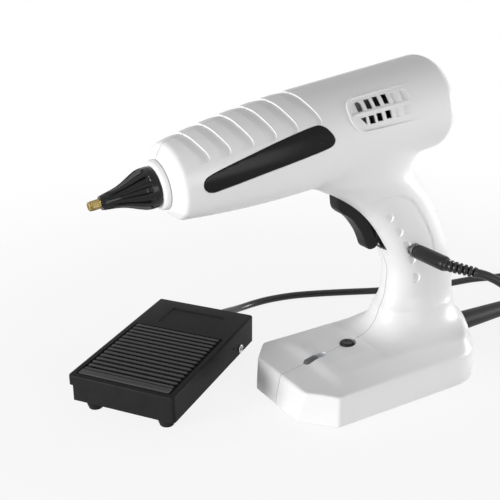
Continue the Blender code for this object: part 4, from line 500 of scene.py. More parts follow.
class Shelf:
    """Every finish of the machine, made once."""

    def __init__(self) -> None:
        """Make the materials by their plain names."""
        finishes = {
            "shell": MouldedPlastic("white_shell", (0.80, 0.80, 0.805), 0.34, 0.0006, 0.000010, 0.015),
            "grained": MouldedPlastic("grained_black", (0.012, 0.012, 0.013), 0.40, 0.0005, 0.00003, 0.12,
                                      dust=0.04, specular=0.16),
            # Pedal: the second colour is the painted highlight along the rib tops
            "pedal": RibbedPlastic("pedal_black", (0.0200, 0.0200, 0.0207), (0.090, 0.090, 0.092),
                                   Pedal().crest()),
            "cap": MouldedPlastic("cap_black", (0.008, 0.008, 0.009), 0.20, 0.0007, 0.000012, 0.12,
                                  coat=0.05, specular=0.22),
            "grey": MouldedPlastic("dark_grey", (0.085, 0.088, 0.092), 0.42, 0.0005, 0.00002, 0.08),
            "pale": MouldedPlastic("pale_switch", (0.60, 0.65, 0.70), 0.32, 0.0006, 0.00001, 0.03),
            "gloss": GlossPanel("label_black", (0.0085, 0.0085, 0.0090)),
            "rubber": Rubber("boot_rubber", (0.011, 0.011, 0.012), 0.48),
            "foot": Rubber("foot_rubber", (0.009, 0.009, 0.009), 0.70, specular=0.12),
            "grip": Rubber("plug_rubber", (0.013, 0.013, 0.014), 0.38, 0.0009),
            "cord": CordSheath("cord_sheath", (0.009, 0.009, 0.010)),
            "brass": TurnedMetal("tip_brass", (0.36, 0.27, 0.11), (0.07, 0.05, 0.02), BARREL_DIRECTION,
                                  roughness=0.36),
            "screw": TurnedMetal("bright_screw", (0.66, 0.66, 0.65), (0.35, 0.34, 0.33), (0.0, 1.0, 0.0)),
            "steel": PlatedSteel("plated_steel", (0.56, 0.56, 0.55)),
            "collar": PlatedSteel("socket_collar", (0.17, 0.17, 0.18), roughness=0.5),
            "cast": CastMetal("cast_chamber", (0.62, 0.62, 0.61)),
            "lagging": WovenSleeve("lagging", (0.66, 0.60, 0.47)),
            "silicone": ClearRubber("silicone", (0.72, 0.66, 0.58)),
            "board": PrintedBoard("board", (0.012, 0.10, 0.035), (0.05, 0.22, 0.08)),
        }
        self._made = {key: finish.make() for key, finish in finishes.items()}

    def __getitem__(self, key: str) -> bpy.types.Material:
        """The material of a plain name."""
        return self._made[key]


# Making meshes


def new_piece(name: str, points: Sequence[Point], faces: Sequence[Sequence[int]]) -> bpy.types.Object:
    """An object with a mesh of its own in the scene."""
    mesh = bpy.data.meshes.new(name)
    mesh.from_pydata([tuple(map(float, point)) for point in points], [], [tuple(face) for face in faces])
    mesh.update()
    item = bpy.data.objects.new(name, mesh)
    bpy.context.scene.collection.objects.link(item)
    return item


def copied(name: str, item: bpy.types.Object) -> bpy.types.Object:
    """An object with a copy of another one's mesh."""
    return new_piece(name, [vertex.co for vertex in item.data.vertices],
                     [face.vertices for face in item.data.polygons])


def box_of(node: str) -> tuple[Vector, Vector]:
    """Low and high corner of a CAD node at rest."""
    low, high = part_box(node)
    return Vector(low), Vector(high)


def turned_frame(place: Point, degrees: float, axis: str) -> Matrix:
    """Frame at a place, turned round an axis."""
    return Matrix.Translation(place) @ Matrix.Rotation(math.radians(degrees), 4, axis)


def framed(matrix: Matrix, shift: float = 0.0) -> Placer:
    """Placer of outlines that lie in a frame, moved along its X."""
    return lambda a, b, height: matrix @ Vector((a + shift, b, height))


def sideways(a: float, b: float, height: float) -> Point:
    """Placer of outlines seen from the side, with their height along Y."""
    return a, height, b


def discard(*items: bpy.types.Object) -> None:
    """Remove helper objects and their meshes."""
    for item in items:
        mesh = item.data
        bpy.data.objects.remove(item)
        bpy.data.meshes.remove(mesh)


def evaluated(item: bpy.types.Object) -> None:
    """Put the result of an object's modifiers into its mesh."""
    view = bpy.context.evaluated_depsgraph_get()
    mesh = bpy.data.meshes.new_from_object(item.evaluated_get(view))
    old = item.data
    item.modifiers.clear()
    item.data = mesh
    bpy.data.meshes.remove(old)
    mesh.name = item.name


def trued(item: bpy.types.Object) -> bpy.types.Object:
    """Merge points that meet and turn every face outward."""
    shape = bmesh.new()
    shape.from_mesh(item.data)
    bmesh.ops.remove_doubles(shape, verts=shape.verts, dist=MERGE)
    bmesh.ops.recalc_face_normals(shape, faces=shape.faces)
    shape.to_mesh(item.data)
    shape.free()
    return item


def worked(item: bpy.types.Object, work: Work, *tools: bpy.types.Object) -> None:
    """Cut, join or keep with solid tools, one after another, and remove the tools."""
    for tool in tools:
        step = item.modifiers.new("work", "BOOLEAN")
        step.operation = work.value
        step.solver = "MANIFOLD"
        step.object = tool
    before = len(item.data.polygons)
    evaluated(item)
    if len(item.data.polygons) in (0, before):
        LOG.warning("%s: %s with %s changed nothing", item.name, work.name, [tool.name for tool in tools])
    discard(*tools)


def gathered(name: str, items: Sequence[bpy.types.Object]) -> bpy.types.Object:
    """Join objects that don't overlap into one."""
    points: list[Point] = []
    faces: list[list[int]] = []
    for item in items:
        start = len(points)
        points += [tuple(item.matrix_basis @ vertex.co) for vertex in item.data.vertices]
        faces += [[start + index for index in face.vertices] for face in item.data.polygons]
    discard(*items)
    return new_piece(name, points, faces)


def smoothed(item: bpy.types.Object, angle: float = 32.0) -> bpy.types.Object:
    """Shade smooth, with crisp edges past an angle in degrees."""
    item.data.shade_smooth()
    item.data.set_sharp_from_angle(angle=math.radians(angle))
    return item


def dressed(item: bpy.types.Object, look: bpy.types.Material, body: str, slot: Slot,
            *nodes: str) -> bpy.types.Object:
    """Give a piece its finish and its place in the frame.

    Args:
        item: the piece, at its place.
        look: its material.
        body: the body that it rides on.
        slot: the record's slot that its finish stands for; not used.
        nodes: the CAD nodes that it replaces.

    Returns:
        The piece.
    """
    item.data.materials.clear()
    item.data.materials.append(look)
    if nodes:
        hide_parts(*nodes)
    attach(item, body)
    size = len(item.data.polygons) if item.type == "MESH" else len(item.data.splines[0].points)
    LOG.info("%s rides on %s, %d faces or points", item.name, body, size)
    return item


def lofted(name: str, rings: Sequence[Sequence[Point]], looped: bool = False) -> bpy.types.Object:
    """A skin over rings of equal counts, with flat ends or looped back on itself."""
    count = len(rings[0])
    points = [point for ring in rings for point in ring]
    faces = []
    last = len(rings) if looped else len(rings) - 1
    for row in range(last):
        here, there = row * count, (row + 1) % len(rings) * count
        for step in range(count):
            after = (step + 1) % count
            faces.append((here + step, here + after, there + after, there + step))
    if not looped:
        faces.append(tuple(reversed(range(count))))
        faces.append(tuple(range((len(rings) - 1) * count, len(rings) * count)))
    return new_piece(name, points, faces)


def turned(name: str, profile: Sequence[Pair], matrix: Matrix, steps: int = 64, looped: bool = False,
           shape: Callable[[float, float], float] | None = None) -> bpy.types.Object:
    """A turned solid.

    Args:
        name: the piece's name.
        profile: pairs of place along the axis and radius, in the order of growing place on the outer side.
        matrix: the axis' frame, with its X along the axis.
        steps: points round a ring.
        looped: whether the profile closes on itself, for a piece with a bore.
        shape: what is taken off the radius at a place and an angle.

    Returns:
        The piece.
    """
    rings = []
    for along, radius in profile:
        ring = []
        for step in range(steps):
            angle = math.tau * step / steps
            reach = radius - (shape(along, angle) if shape else 0.0)
            ring.append(matrix @ Vector((along, reach * math.cos(angle), reach * math.sin(angle))))
        rings.append(ring)
    return trued(lofted(name, rings, looped))


def rectangle(low: Pair, high: Pair) -> list[Pair]:
    """Outline of a rectangle between its low and high corners."""
    return [low, (high[0], low[1]), high, (low[0], high[1])]


def rounded(points: Sequence[Pair], radius: float, steps: int = 4, closed: bool = False) -> list[Pair]:
    """Turn the corners of an outline or profile into arcs of about a radius."""
    count = len(points)
    result: list[Pair] = []
    for index, corner in enumerate(points):
        if not closed and index in (0, count - 1):
            result.append(tuple(corner))
            continue
        here = np.array(corner)
        before = np.array(points[index - 1]) - here
        after = np.array(points[(index + 1) % count]) - here
        trim = min(radius, 0.45 * np.linalg.norm(before), 0.45 * np.linalg.norm(after))
        start = here + before / (np.linalg.norm(before) + TINY) * trim
        end = here + after / (np.linalg.norm(after) + TINY) * trim
        for share in np.linspace(0.0, 1.0, steps + 1):
            spot = (1 - share) ** 2 * start + 2 * share * (1 - share) * here + share ** 2 * end
            result.append((float(spot[0]), float(spot[1])))
    return result


def spline(points: Sequence[Point], step: float, closed: bool = False) -> list[Vector]:
    """A smooth curve through points, read at an even step."""
    knots = [Vector(point) for point in points]
    if closed:
        knots = [knots[-1], *knots, knots[0], knots[1]]
    else:
        knots = [2 * knots[0] - knots[1], *knots, 2 * knots[-1] - knots[-2]]
    dense = []
    for index in range(1, len(knots) - 2):
        first, second, third, fourth = knots[index - 1:index + 3]
        parts = max(4, math.ceil((third - second).length / step) * 3)
        for part in range(parts):
            share = part / parts
            dense.append(0.5 * (2 * second + (third - first) * share
                                + (2 * first - 5 * second + 4 * third - fourth) * share ** 2
                                + (3 * second - first - 3 * third + fourth) * share ** 3))
    dense.append(knots[-2].copy())
    lengths = [0.0]
    for before, after in zip(dense, dense[1:]):
        lengths.append(lengths[-1] + (after - before).length)
    count = max(2, round(lengths[-1] / step))
    places = np.linspace(0.0, lengths[-1], count + 1)
    if closed:
        places = places[:-1]
    table = np.array([tuple(point) for point in dense])
    axes = [np.interp(places, lengths, table[:, axis]) for axis in range(table.shape[1])]
    return [Vector(row) for row in zip(*axes)]


def flat_spline(points: Sequence[Pair], step: float, closed: bool = False) -> list[Pair]:
    """A smooth curve through points of a plane, read at an even step."""
    return [tuple(point)[:2] for point in spline([(a, b, 0.0) for a, b in points], step, closed)]


def drawn_in(outline: np.ndarray, inset: float) -> np.ndarray:
    """An outline that runs counter-clockwise, moved inward by an amount."""
    if not inset:
        return outline
    before = outline - np.roll(outline, 1, axis=0)
    after = np.roll(outline, -1, axis=0) - outline
    sides = [np.stack((-part[:, 1], part[:, 0]), axis=1) / (np.linalg.norm(part, axis=1)[:, None] + TINY)
             for part in (before, after)]
    inward = sides[0] + sides[1]
    inward /= np.linalg.norm(inward, axis=1)[:, None] + TINY
    square = np.clip((inward * sides[1]).sum(axis=1), 0.5, 1.0)[:, None]
    return outline + inward / square * inset


def counter_clockwise(outline: Sequence[Pair]) -> np.ndarray:
    """The outline as an array that runs counter-clockwise."""
    points = np.array([tuple(point)[:2] for point in outline], dtype=float)
    after = np.roll(points, -1, axis=0)
    area = (points[:, 0] * after[:, 1] - after[:, 0] * points[:, 1]).sum()
    return points if area > 0 else points[::-1].copy()


def slab(name: str, outline: Sequence[Pair], levels: Sequence[Pair], place: Placer) -> bpy.types.Object:
    """A plate of an outline, in levels of inset and height, put in place by a function."""
    base = counter_clockwise(outline)
    rings = []
    for inset, height in levels:
        rings.append([place(a, b, height) for a, b in drawn_in(base, inset)])
    return trued(lofted(name, rings))


def edge_levels(low: float, high: float, radius: float, steps: int = 4) -> list[Pair]:
    """Levels of a plate whose lower and upper edges are rounded."""
    angles = [QUARTER * step / steps for step in range(steps + 1)]
    lower = [(radius * (1 - math.sin(angle)), low + radius * (1 - math.cos(angle))) for angle in angles]
    upper = [(radius * (1 - math.cos(angle)), high - radius * (1 - math.sin(angle))) for angle in angles]
    return lower + upper


def patched(name: str, outline: Sequence[Pair], spacing: float, levels: Sequence[tuple[float, object]],
            place: Placer) -> bpy.types.Object:
    """A plate that bends with what it lies on.

    Args:
        name: the piece's name.
        outline: its outline on the unrolled surface.
        spacing: distance between the points inside the outline.
        levels: pairs of inset and height, the height a number or a function of the place.
        place: puts a place on the unrolled surface and a height in space.

    Returns:
        The piece.
    """
    base = counter_clockwise(outline)
    count = len(base)
    points: list[Point] = []
    faces: list[tuple[int, ...]] = []

    def lifted(spot: Sequence[float], height: object) -> Point:
        """The point over a spot of the unrolled surface."""
        value = height(spot[0], spot[1]) if callable(height) else height
        return place(spot[0], spot[1], value)

    for inset, height in levels:
        points += [lifted(spot, height) for spot in drawn_in(base, inset)]
    for row in range(len(levels) - 1):
        here, there = row * count, (row + 1) * count
        for step in range(count):
            after = (step + 1) % count
            faces.append((here + step, here + after, there + after, there + step))
    for row, flip in ((0, True), (len(levels) - 1, False)):
        inset, height = levels[row]
        rim = drawn_in(base, inset)
        inner = inside_points(rim, spacing)
        ring = [(index, (index + 1) % count) for index in range(count)]
        result = delaunay_2d_cdt([Vector(spot) for spot in (*rim, *inner)], ring, [], 1, TINY)
        keys = {}
        for index, spot in enumerate(result[0]):
            origin = result[3][index][0] if result[3][index] else -1
            if 0 <= origin < count:
                keys[index] = row * count + origin
            else:
                keys[index] = len(points)
                points.append(lifted(spot, height))
        for face in result[2]:
            order = [keys[index] for index in face]
            faces.append(tuple(reversed(order)) if flip else tuple(order))
    return trued(new_piece(name, points, faces))


def inside_points(outline: np.ndarray, spacing: float) -> np.ndarray:
    """Points of an even grid that lie inside an outline and clear of its edge."""
    low, high = outline.min(axis=0), outline.max(axis=0)
    columns = np.arange(low[0] + spacing / 2, high[0], spacing)
    rows = np.arange(low[1] + spacing / 2, high[1], spacing)
    grid = np.array([(a, b) for a in columns for b in rows])
    start, end = outline, np.roll(outline, -1, axis=0)
    kept = []
    for spot in grid:
        crosses = (start[:, 1] > spot[1]) != (end[:, 1] > spot[1])
        slope = (end[:, 0] - start[:, 0]) / (end[:, 1] - start[:, 1] + TINY)
        odd = (crosses & (spot[0] < start[:, 0] + slope * (spot[1] - start[:, 1]))).sum() % 2
        if odd and np.min(np.linalg.norm(outline - spot, axis=1)) > spacing * 0.45:
            kept.append(spot)
    return np.array(kept).reshape(-1, 2)


def rod(name: str, radius: float, start: Point, end: Point, steps: int = 48) -> bpy.types.Object:
    """A round bar between two points, for cutting."""
    start, end = Vector(start), Vector(end)
    matrix = Matrix.Translation(start) @ (end - start).to_track_quat("X", "Z").to_matrix().to_4x4()
    return turned(name, [(0.0, radius), ((end - start).length, radius)], matrix, steps)


def swept(name: str, path: Sequence[Vector], radii: Sequence[float], steps: int = 32) -> bpy.types.Object:
    """A tube along a path with a radius for each of its points."""
    tangents = [(path[min(index + 1, len(path) - 1)] - path[max(index - 1, 0)]).normalized()
                for index in range(len(path))]
    side = tangents[0].orthogonal().normalized()
    rings = []
    for point, tangent, radius in zip(path, tangents, radii):
        side = (side - tangent * side.dot(tangent)).normalized()
        other = tangent.cross(side)
        angles = [math.tau * step / steps for step in range(steps)]
        rings.append([point + radius * (side * math.cos(angle) + other * math.sin(angle))
                      for angle in angles])
    return trued(lofted(name, rings))


def stadium(length: float, width: float, steps: int = 12) -> list[Pair]:
    """Outline of a slot with round ends, along the first axis."""
    reach = (length - width) / 2
    outline = []
    for side in (1, -1):
        for step in range(steps + 1):
            angle = math.radians(-90.0 * side) + math.pi * step / steps
            outline.append((side * reach + width / 2 * math.cos(angle), width / 2 * math.sin(angle)))
    return outline


# Form of the casing


def eased(rows: np.ndarray, heights: np.ndarray) -> np.ndarray:
    """Read every column of a table at many heights, along smooth curves that don't overshoot."""
    knots, values = rows[:, 0], rows[:, 1:]
    gaps = np.diff(knots)[:, None]
    chords = np.diff(values, axis=0) / gaps
    product = chords[:-1] * chords[1:]
    total = np.where(product > 0, chords[:-1] + chords[1:], 1.0)
    slopes = np.vstack([chords[:1], np.where(product > 0, 2 * product / total, 0.0), chords[-1:]])
    index = np.clip(np.searchsorted(knots, heights, "right") - 1, 0, len(knots) - 2)
    gap = gaps[index]
    share = np.clip((heights - knots[index])[:, None] / gap, 0.0, 1.0)
    square, cube = share ** 2, share ** 3
    return (values[index] * (2 * cube - 3 * square + 1) + values[index + 1] * (3 * square - 2 * cube)
            + gap * (slopes[index] * (cube - 2 * square + share) + slopes[index + 1] * (cube - square)))


def joined(first: np.ndarray, second: np.ndarray, width: float | np.ndarray) -> np.ndarray:
    """Smaller of two distances, run together over a width."""
    share = np.clip(0.5 + 0.5 * (second - first) / width, 0.0, 1.0)
    return second * (1 - share) + first * share - width * share * (1 - share)


def trimmed(first: np.ndarray, second: np.ndarray, width: float | np.ndarray) -> np.ndarray:
    """Larger of two distances, run together over a width."""
    return -joined(-first, -second, width)


def cornered(first: np.ndarray, second: np.ndarray, radius: float) -> np.ndarray:
    """Larger of two distances, with an arc of a radius at the corner."""
    outer = np.hypot(np.maximum(first + radius, 0.0), np.maximum(second + radius, 0.0))
    return outer - radius + np.minimum(np.maximum(first + radius, second + radius), 0.0)


@dataclass(frozen=True)
class BarrelSkin:
    """Turned barrel: places on it are given by the distance back from its front edge and an angle."""

    front: Point = (-0.132, 0.0, 0.1469)
    tilt: float = math.radians(8.0)
    length: float = 0.1675
    nose_radius: float = 0.0200
    radius: float = 0.0270
    swell: float = 0.085
    rear_round: float = 0.0075
    seat_radius: float = 0.0134
    chamfer: float = 0.0050

    def matrix(self) -> Matrix:
        """Frame of the barrel, with X along its axis to the rear."""
        return Matrix.Translation(self.front) @ Matrix.Rotation(-self.tilt, 4, "Y")

    def reach(self, place: float | np.ndarray) -> float | np.ndarray:
        """Outer radius at a place along the axis."""
        share = np.clip(place / self.swell, 0.0, 1.0)
        return self.nose_radius + (self.radius - self.nose_radius) * (1 - (1 - share) ** 2)

    def point(self, place: float, angle: float, height: float, side: Side = Side.NEAR) -> Vector:
        """A point over the skin; the angle is counted up from the side."""
        reach = float(self.reach(place)) + height
        return self.matrix() @ Vector((place, side.value * reach * math.cos(angle), reach * math.sin(angle)))

    def over(self, side: Side = Side.NEAR) -> Placer:
        """Placer of points over one side of the barrel, from place, arc and height."""
        return lambda place, arc, height: self.point(place, arc / self.radius, height, side)

    def unrolled(self, place: float, up: float) -> Pair:
        """Place and arc over the side, of a point seen from the side at a height over the axis."""
        return place, math.asin(max(-1.0, min(1.0, up / float(self.reach(place))))) * self.radius

    def distance(self, points: np.ndarray) -> np.ndarray:
        """Signed distance of points to the barrel."""
        x, z = points[:, 0] - self.front[0], points[:, 2] - self.front[2]
        place = x * math.cos(self.tilt) + z * math.sin(self.tilt)
        up = z * math.cos(self.tilt) - x * math.sin(self.tilt)
        spread = np.hypot(points[:, 1], up)
        side = spread - self.reach(place)
        slant = math.hypot(self.chamfer, self.nose_radius - self.seat_radius)
        cone = ((place + self.chamfer) * (self.seat_radius - self.nose_radius)
                + (spread - self.seat_radius) * self.chamfer) / slant
        front = trimmed(cone, -self.chamfer - place, 0.0008)
        body = cornered(side, place - self.length, self.rear_round)
        return trimmed(body, front, 0.0012)


@dataclass(frozen=True)
class CasingForm:
    """Outer face of the casing: barrel, handle, base and hump run into each other."""

    skin: BarrelSkin = BarrelSkin()
    half_length: float = 0.0675
    half_width: float = 0.0400
    top: float = 0.1500
    strip_half: float = 0.0120
    strip_fall: float = 0.22
    front_shoulder: float = 0.0210
    rear_shoulder: Pair = (0.060, 0.0330)
    corner_cut: Point = (0.747, 0.664, 0.0646)
    wall_top: float = 0.0195
    band_slope: float = 1.25
    band_blend: float = 0.0014
    shoulder_edge: float = 0.0016
    roof_scale: float = 0.85
    sole_edge: float = 0.0012
    handle_start_share: float = 0.300
    base_end_share: float = 0.126
    handle_blend: float = 0.022
    neck_blend: float = 0.0030
    neck_swell: float = 0.0055
    neck_range: Pair = (-0.042, 0.030)
    wall_edge: float = 0.0010
    grip_inset: float = 0.00050
    grip_step: float = 0.0009
    grip_fade: float = 0.030
    grip_start: Pair = (-0.016, 0.006)
    grip_aside: Pair = (0.006, 0.004)
    hump_radius: float = 0.0172
    hump_height: float = 0.0180
    hump_start: float = 0.0400
    hump_end: float = 0.0705
    hump_round: float = 0.0060
    hump_blend: float = 0.0040

    # Step that slopes are measured over, and the flattest slope that is divided by
    PROBE = 0.0002
    LEAST_SLOPE = 0.3
    # Rows: height, front, front arc centre, half width, rear arc centre, rear, front power, rear power
    LEVEL_SHARES = (
        (0.000, -0.985, -0.44, 0.975, 0.50, 0.985, 9.0, 2.6),
        (0.008, -1.000, -0.44, 1.000, 0.50, 1.000, 9.0, 2.6),
        (0.109, -0.963, -0.43, 0.999, 0.50, 0.998, 9.0, 2.6),
        (0.126, -0.955, -0.42, 0.993, 0.50, 0.994, 9.0, 2.6),
        (0.136, -0.840, -0.39, 0.975, 0.50, 0.989, 3.6, 2.6),
        (0.147, -0.715, -0.33, 0.945, 0.50, 0.983, 3.4, 2.6),
        (0.161, -0.575, -0.22, 0.905, 0.50, 0.975, 3.2, 2.6),
        (0.181, -0.265, 0.06, 0.840, 0.50, 0.963, 3.0, 2.6),
        (0.194, -0.140, 0.15, 0.760, 0.50, 0.954, 2.8, 2.5),
        (0.217, -0.035, 0.24, 0.625, 0.50, 0.940, 2.6, 2.5),
        (0.253, 0.060, 0.36, 0.500, 0.50, 0.922, 2.4, 2.4),
        (0.300, 0.120, 0.49, 0.430, 0.51, 0.908, 2.3, 2.3),
        (0.367, 0.163, 0.53, 0.388, 0.53, 0.904, 2.3, 2.3),
        (0.453, 0.175, 0.52, 0.375, 0.52, 0.871, 2.3, 2.3),
        (0.527, 0.123, 0.47, 0.375, 0.47, 0.822, 2.3, 2.3),
        (0.600, 0.022, 0.38, 0.375, 0.38, 0.745, 2.3, 2.3),
        (0.667, -0.081, 0.29, 0.380, 0.29, 0.670, 2.3, 2.3),
        (0.740, -0.230, 0.17, 0.400, 0.17, 0.576, 2.3, 2.3),
        (0.793, -0.385, 0.07, 0.425, 0.07, 0.487, 2.3, 2.3),
        (0.847, -0.593, -0.08, 0.462, -0.08, 0.382, 2.3, 2.3),
        (0.893, -0.800, -0.24, 0.500, -0.24, 0.304, 2.3, 2.3),
        (0.947, -0.860, -0.30, 0.525, -0.30, 0.274, 2.3, 2.3),
        (1.000, -0.740, -0.30, 0.500, -0.30, 0.150, 2.3, 2.3),
    )
    # Top line of the middle strip: place and height
    STRIP_LINE = ((-0.0640, 0.0194), (-0.0480, 0.0217), (-0.0398, 0.0241), (-0.0320, 0.0249),
                  (-0.0229, 0.0262), (-0.0162, 0.0271), (-0.0080, 0.0284))
    # Arc under the neck that the handle's side lies back from: place and height
    GRIP_ARC = ((-0.0160, 0.1190), (-0.0120, 0.1204), (-0.0062, 0.1218), (0.0028, 0.1218), (0.0090, 0.1195),
                (0.0124, 0.1178), (0.0171, 0.1135), (0.0265, 0.1016), (0.0330, 0.0900), (0.0380, 0.0700))

    def _levels(self, points: np.ndarray, low_share: float, high_share: float) -> np.ndarray:
        """Level sizes at the points' heights, kept between two heights."""
        rows = np.array(self.LEVEL_SHARES)
        return eased(rows, np.clip(points[:, 2] / self.top, low_share, high_share))

    def _column(self, points: np.ndarray, levels: np.ndarray) -> np.ndarray:
        """Signed distance to upright walls that follow the level outlines."""
        front, front_centre, half, rear_centre, rear, front_power, rear_power = levels.T
        x, y = points[:, 0] / self.half_length, np.abs(points[:, 1])
        at_front, at_rear = x < front_centre, x > rear_centre
        reach = np.where(at_front, front_centre - front, rear - rear_centre)
        along = np.where(at_front, front_centre - x, np.where(at_rear, x - rear_centre, 0.0)) / reach
        power = np.where(at_front, front_power, rear_power)
        across = y / (half * self.half_width)
        rho = np.maximum((along ** power + across ** power) ** (1 / power), 0.02)
        slope = np.hypot((along / rho) ** (power - 1) / (reach * self.half_length),
                         (across / rho) ** (power - 1) / (half * self.half_width))
        return (rho - 1) / np.maximum(slope, 1 / self.half_length)

    def roof(self, points: np.ndarray, inner: np.ndarray) -> np.ndarray:
        """Height of the base's top at the points, from their distance inside the wall."""
        x, y = points[:, 0], np.abs(points[:, 1])
        line = np.array(self.STRIP_LINE)
        strip = eased(line, np.clip(x, line[0, 0], line[-1, 0]))[:, 0]
        rear_place, rear_half = self.rear_shoulder
        shoulder = np.interp(x, (line[0, 0], rear_place), (self.front_shoulder, rear_half))
        near = np.clip((y - self.strip_half) / (shoulder - self.strip_half), 0.0, 1.0)
        past = np.maximum(trimmed(y - shoulder, np.zeros_like(y), self.shoulder_edge), 0.0)
        aside = past / (self.half_width - shoulder)
        fall = self.strip_fall * near + (1 - self.strip_fall) * np.minimum(aside, 1.0)
        ruled = strip - (strip - self.wall_top) * fall
        band = self.wall_top + np.maximum(inner, 0.0) * self.band_slope
        return joined(ruled, band, self.band_blend)

    def distance(self, points: np.ndarray) -> np.ndarray:
        """Signed distance of points to the casing's outer face."""
        wall = self._column(points, self._levels(points, 0.0, self.base_end_share))
        along, across, reach = self.corner_cut
        corner = -points[:, 0] * along + np.abs(points[:, 1]) * across - reach
        wall = trimmed(wall, corner, self.wall_edge)
        top = (points[:, 2] - self.roof(points, -wall)) * self.roof_scale
        base = trimmed(wall, top, self.wall_edge)
        handle = self._column(points, self._levels(points, self.handle_start_share, 1.0))
        handle = np.maximum(handle, points[:, 2] - self.top)
        body = joined(base, handle, self.handle_blend)
        spread = np.hypot(points[:, 1], points[:, 2] - self.hump_height)
        hump = cornered(spread - self.hump_radius, points[:, 0] - self.hump_end, self.hump_round)
        hump = np.maximum(hump, self.hump_start - points[:, 0])
        body = joined(body, hump, self.hump_blend)
        body = trimmed(body, -points[:, 2], self.sole_edge)
        start, run = self.neck_range
        width = self.neck_blend + self.neck_swell * np.clip((points[:, 0] - start) / run, 0.0, 1.0)
        return joined(self.skin.distance(points), body, width) + self._inset(points)

    def _inset(self, points: np.ndarray) -> np.ndarray:
        """How far the handle's side lies back under the arc below the neck."""
        places, heights = zip(*self.GRIP_ARC)
        below = np.interp(points[:, 0], places, heights) - points[:, 2]
        step = np.clip(below / self.grip_step + 0.5, 0.0, 1.0)
        start, run = self.grip_start
        fade = np.clip(1.0 - below / self.grip_fade, 0.0, 1.0)
        fade *= np.clip((points[:, 0] - start) / run, 0.0, 1.0)
        start, run = self.grip_aside
        aside = np.clip((np.abs(points[:, 1]) - start) / run, 0.0, 1.0)
        return self.grip_inset * step * step * (3 - 2 * step) * fade * aside

    def settle(self, item: bpy.types.Object, offset: float, rounds: int) -> None:
        """Bring an object's points onto the form, or onto a face at an offset inside it."""
        mesh = item.data
        places = np.empty(len(mesh.vertices) * 3)
        mesh.vertices.foreach_get("co", places)
        places = places.reshape(-1, 3)
        for _ in range(rounds):
            value = self.distance(places)
            slope = np.empty_like(places)
            for axis in range(3):
                moved = places.copy()
                moved[:, axis] += self.PROBE
                slope[:, axis] = (self.distance(moved) - value) / self.PROBE
            square = np.maximum((slope ** 2).sum(axis=1), self.LEAST_SLOPE)
            stride = np.clip((value + offset) / square, -0.003, 0.003)
            places -= slope * stride[:, None]
        mesh.vertices.foreach_set("co", places.ravel())
        mesh.update()

    def outward(self, spot: Vector) -> tuple[Vector, Vector]:
        """The point of the form nearest to a spot, and the direction out of it."""
        place = np.array([tuple(spot)])
        slope = np.zeros(3)
        for _ in range(8):
            value = self.distance(place)[0]
            moved = [self.distance(place + axis * self.PROBE)[0] for axis in np.eye(3)]
            slope = (np.array(moved) - value) / self.PROBE
            place = place - slope * value / max(float(slope @ slope), self.LEAST_SLOPE)
        return Vector(place[0]), Vector(slope).normalized()

    def rough(self) -> bpy.types.Object:
        """A rough closed solid close to the form, to start from."""
        rings = []
        for height, *sizes in self.LEVEL_SHARES:
            front, front_centre, half, rear_centre, rear, front_power, rear_power = sizes
            ring = []
            for step in range(64):
                angle = math.tau * step / 64
                cosine, sine = math.cos(angle), math.sin(angle)
                centre, end, power = front_centre, front, front_power
                if cosine > 0:
                    centre, end, power = rear_centre, rear, rear_power
                along = abs(end - centre) * math.copysign(abs(cosine) ** (2 / power), cosine)
                across = math.copysign(abs(sine) ** (2 / power), sine)
                ring.append(((centre + along) * self.half_length, half * self.half_width * across,
                             height * self.top))
            rings.append(ring)
        skin = self.skin
        places = np.linspace(0.0, skin.length - skin.rear_round, 16)
        profile = [(-skin.chamfer, 0.0), (-skin.chamfer, skin.seat_radius)]
        profile += [(float(place), float(skin.reach(place))) for place in places]
        profile += [(skin.length, skin.radius - skin.rear_round), (skin.length, 0.0)]
        hump = rod("hump", self.hump_radius, (self.hump_start, 0.0, self.hump_height),
                   (self.hump_end, 0.0, self.hump_height))
        barrel = turned("barrel", profile, skin.matrix())
        return gathered("casing", [trued(lofted("levels", rings)), barrel, hump])


def remeshed(item: bpy.types.Object, size: float) -> None:
    """Rebuild an object's surface from even squares of a size."""
    step = item.modifiers.new("even", "REMESH")
    step.mode = "VOXEL"
    step.voxel_size = size
    evaluated(item)


# Studio


@dataclass(frozen=True)
class Camera:
    """The photograph's viewpoint, solved from its right angles and the level floor."""

    position: Point = (-0.3134, -0.3718, 0.2702)
    direction: Point = (0.488, 0.795, -0.361)
    lens: float = 62.86
    sensor: float = 36.0

    def place(self) -> None:
        """Create the camera and make it the scene's."""
        data = bpy.data.cameras.new("camera")
        data.lens = self.lens
        data.sensor_width = self.sensor
        data.clip_start = 0.01
        data.clip_end = 20.0
        item = bpy.data.objects.new("camera", data)
        item.location = self.position
        item.rotation_euler = Vector(self.direction).to_track_quat("-Z", "Y").to_euler()
        bpy.context.scene.collection.objects.link(item)
        bpy.context.scene.camera = item


@dataclass(frozen=True)
class Lamp:
    """A soft rectangular lamp that looks at the machine's middle."""

    name: str
    position: Point
    power: float
    size: float
    target: Point = (0.0, 0.0, 0.08)

    def place(self) -> None:
        """Create the lamp."""
        data = bpy.data.lights.new(self.name, "AREA")
        data.energy = self.power
        data.shape = "RECTANGLE"
        data.size = self.size
        data.size_y = self.size
        item = bpy.data.objects.new(self.name, data)
        item.location = self.position
        aim = Vector(self.target) - Vector(self.position)
        item.rotation_euler = aim.to_track_quat("-Z", "Y").to_euler()
        bpy.context.scene.collection.objects.link(item)


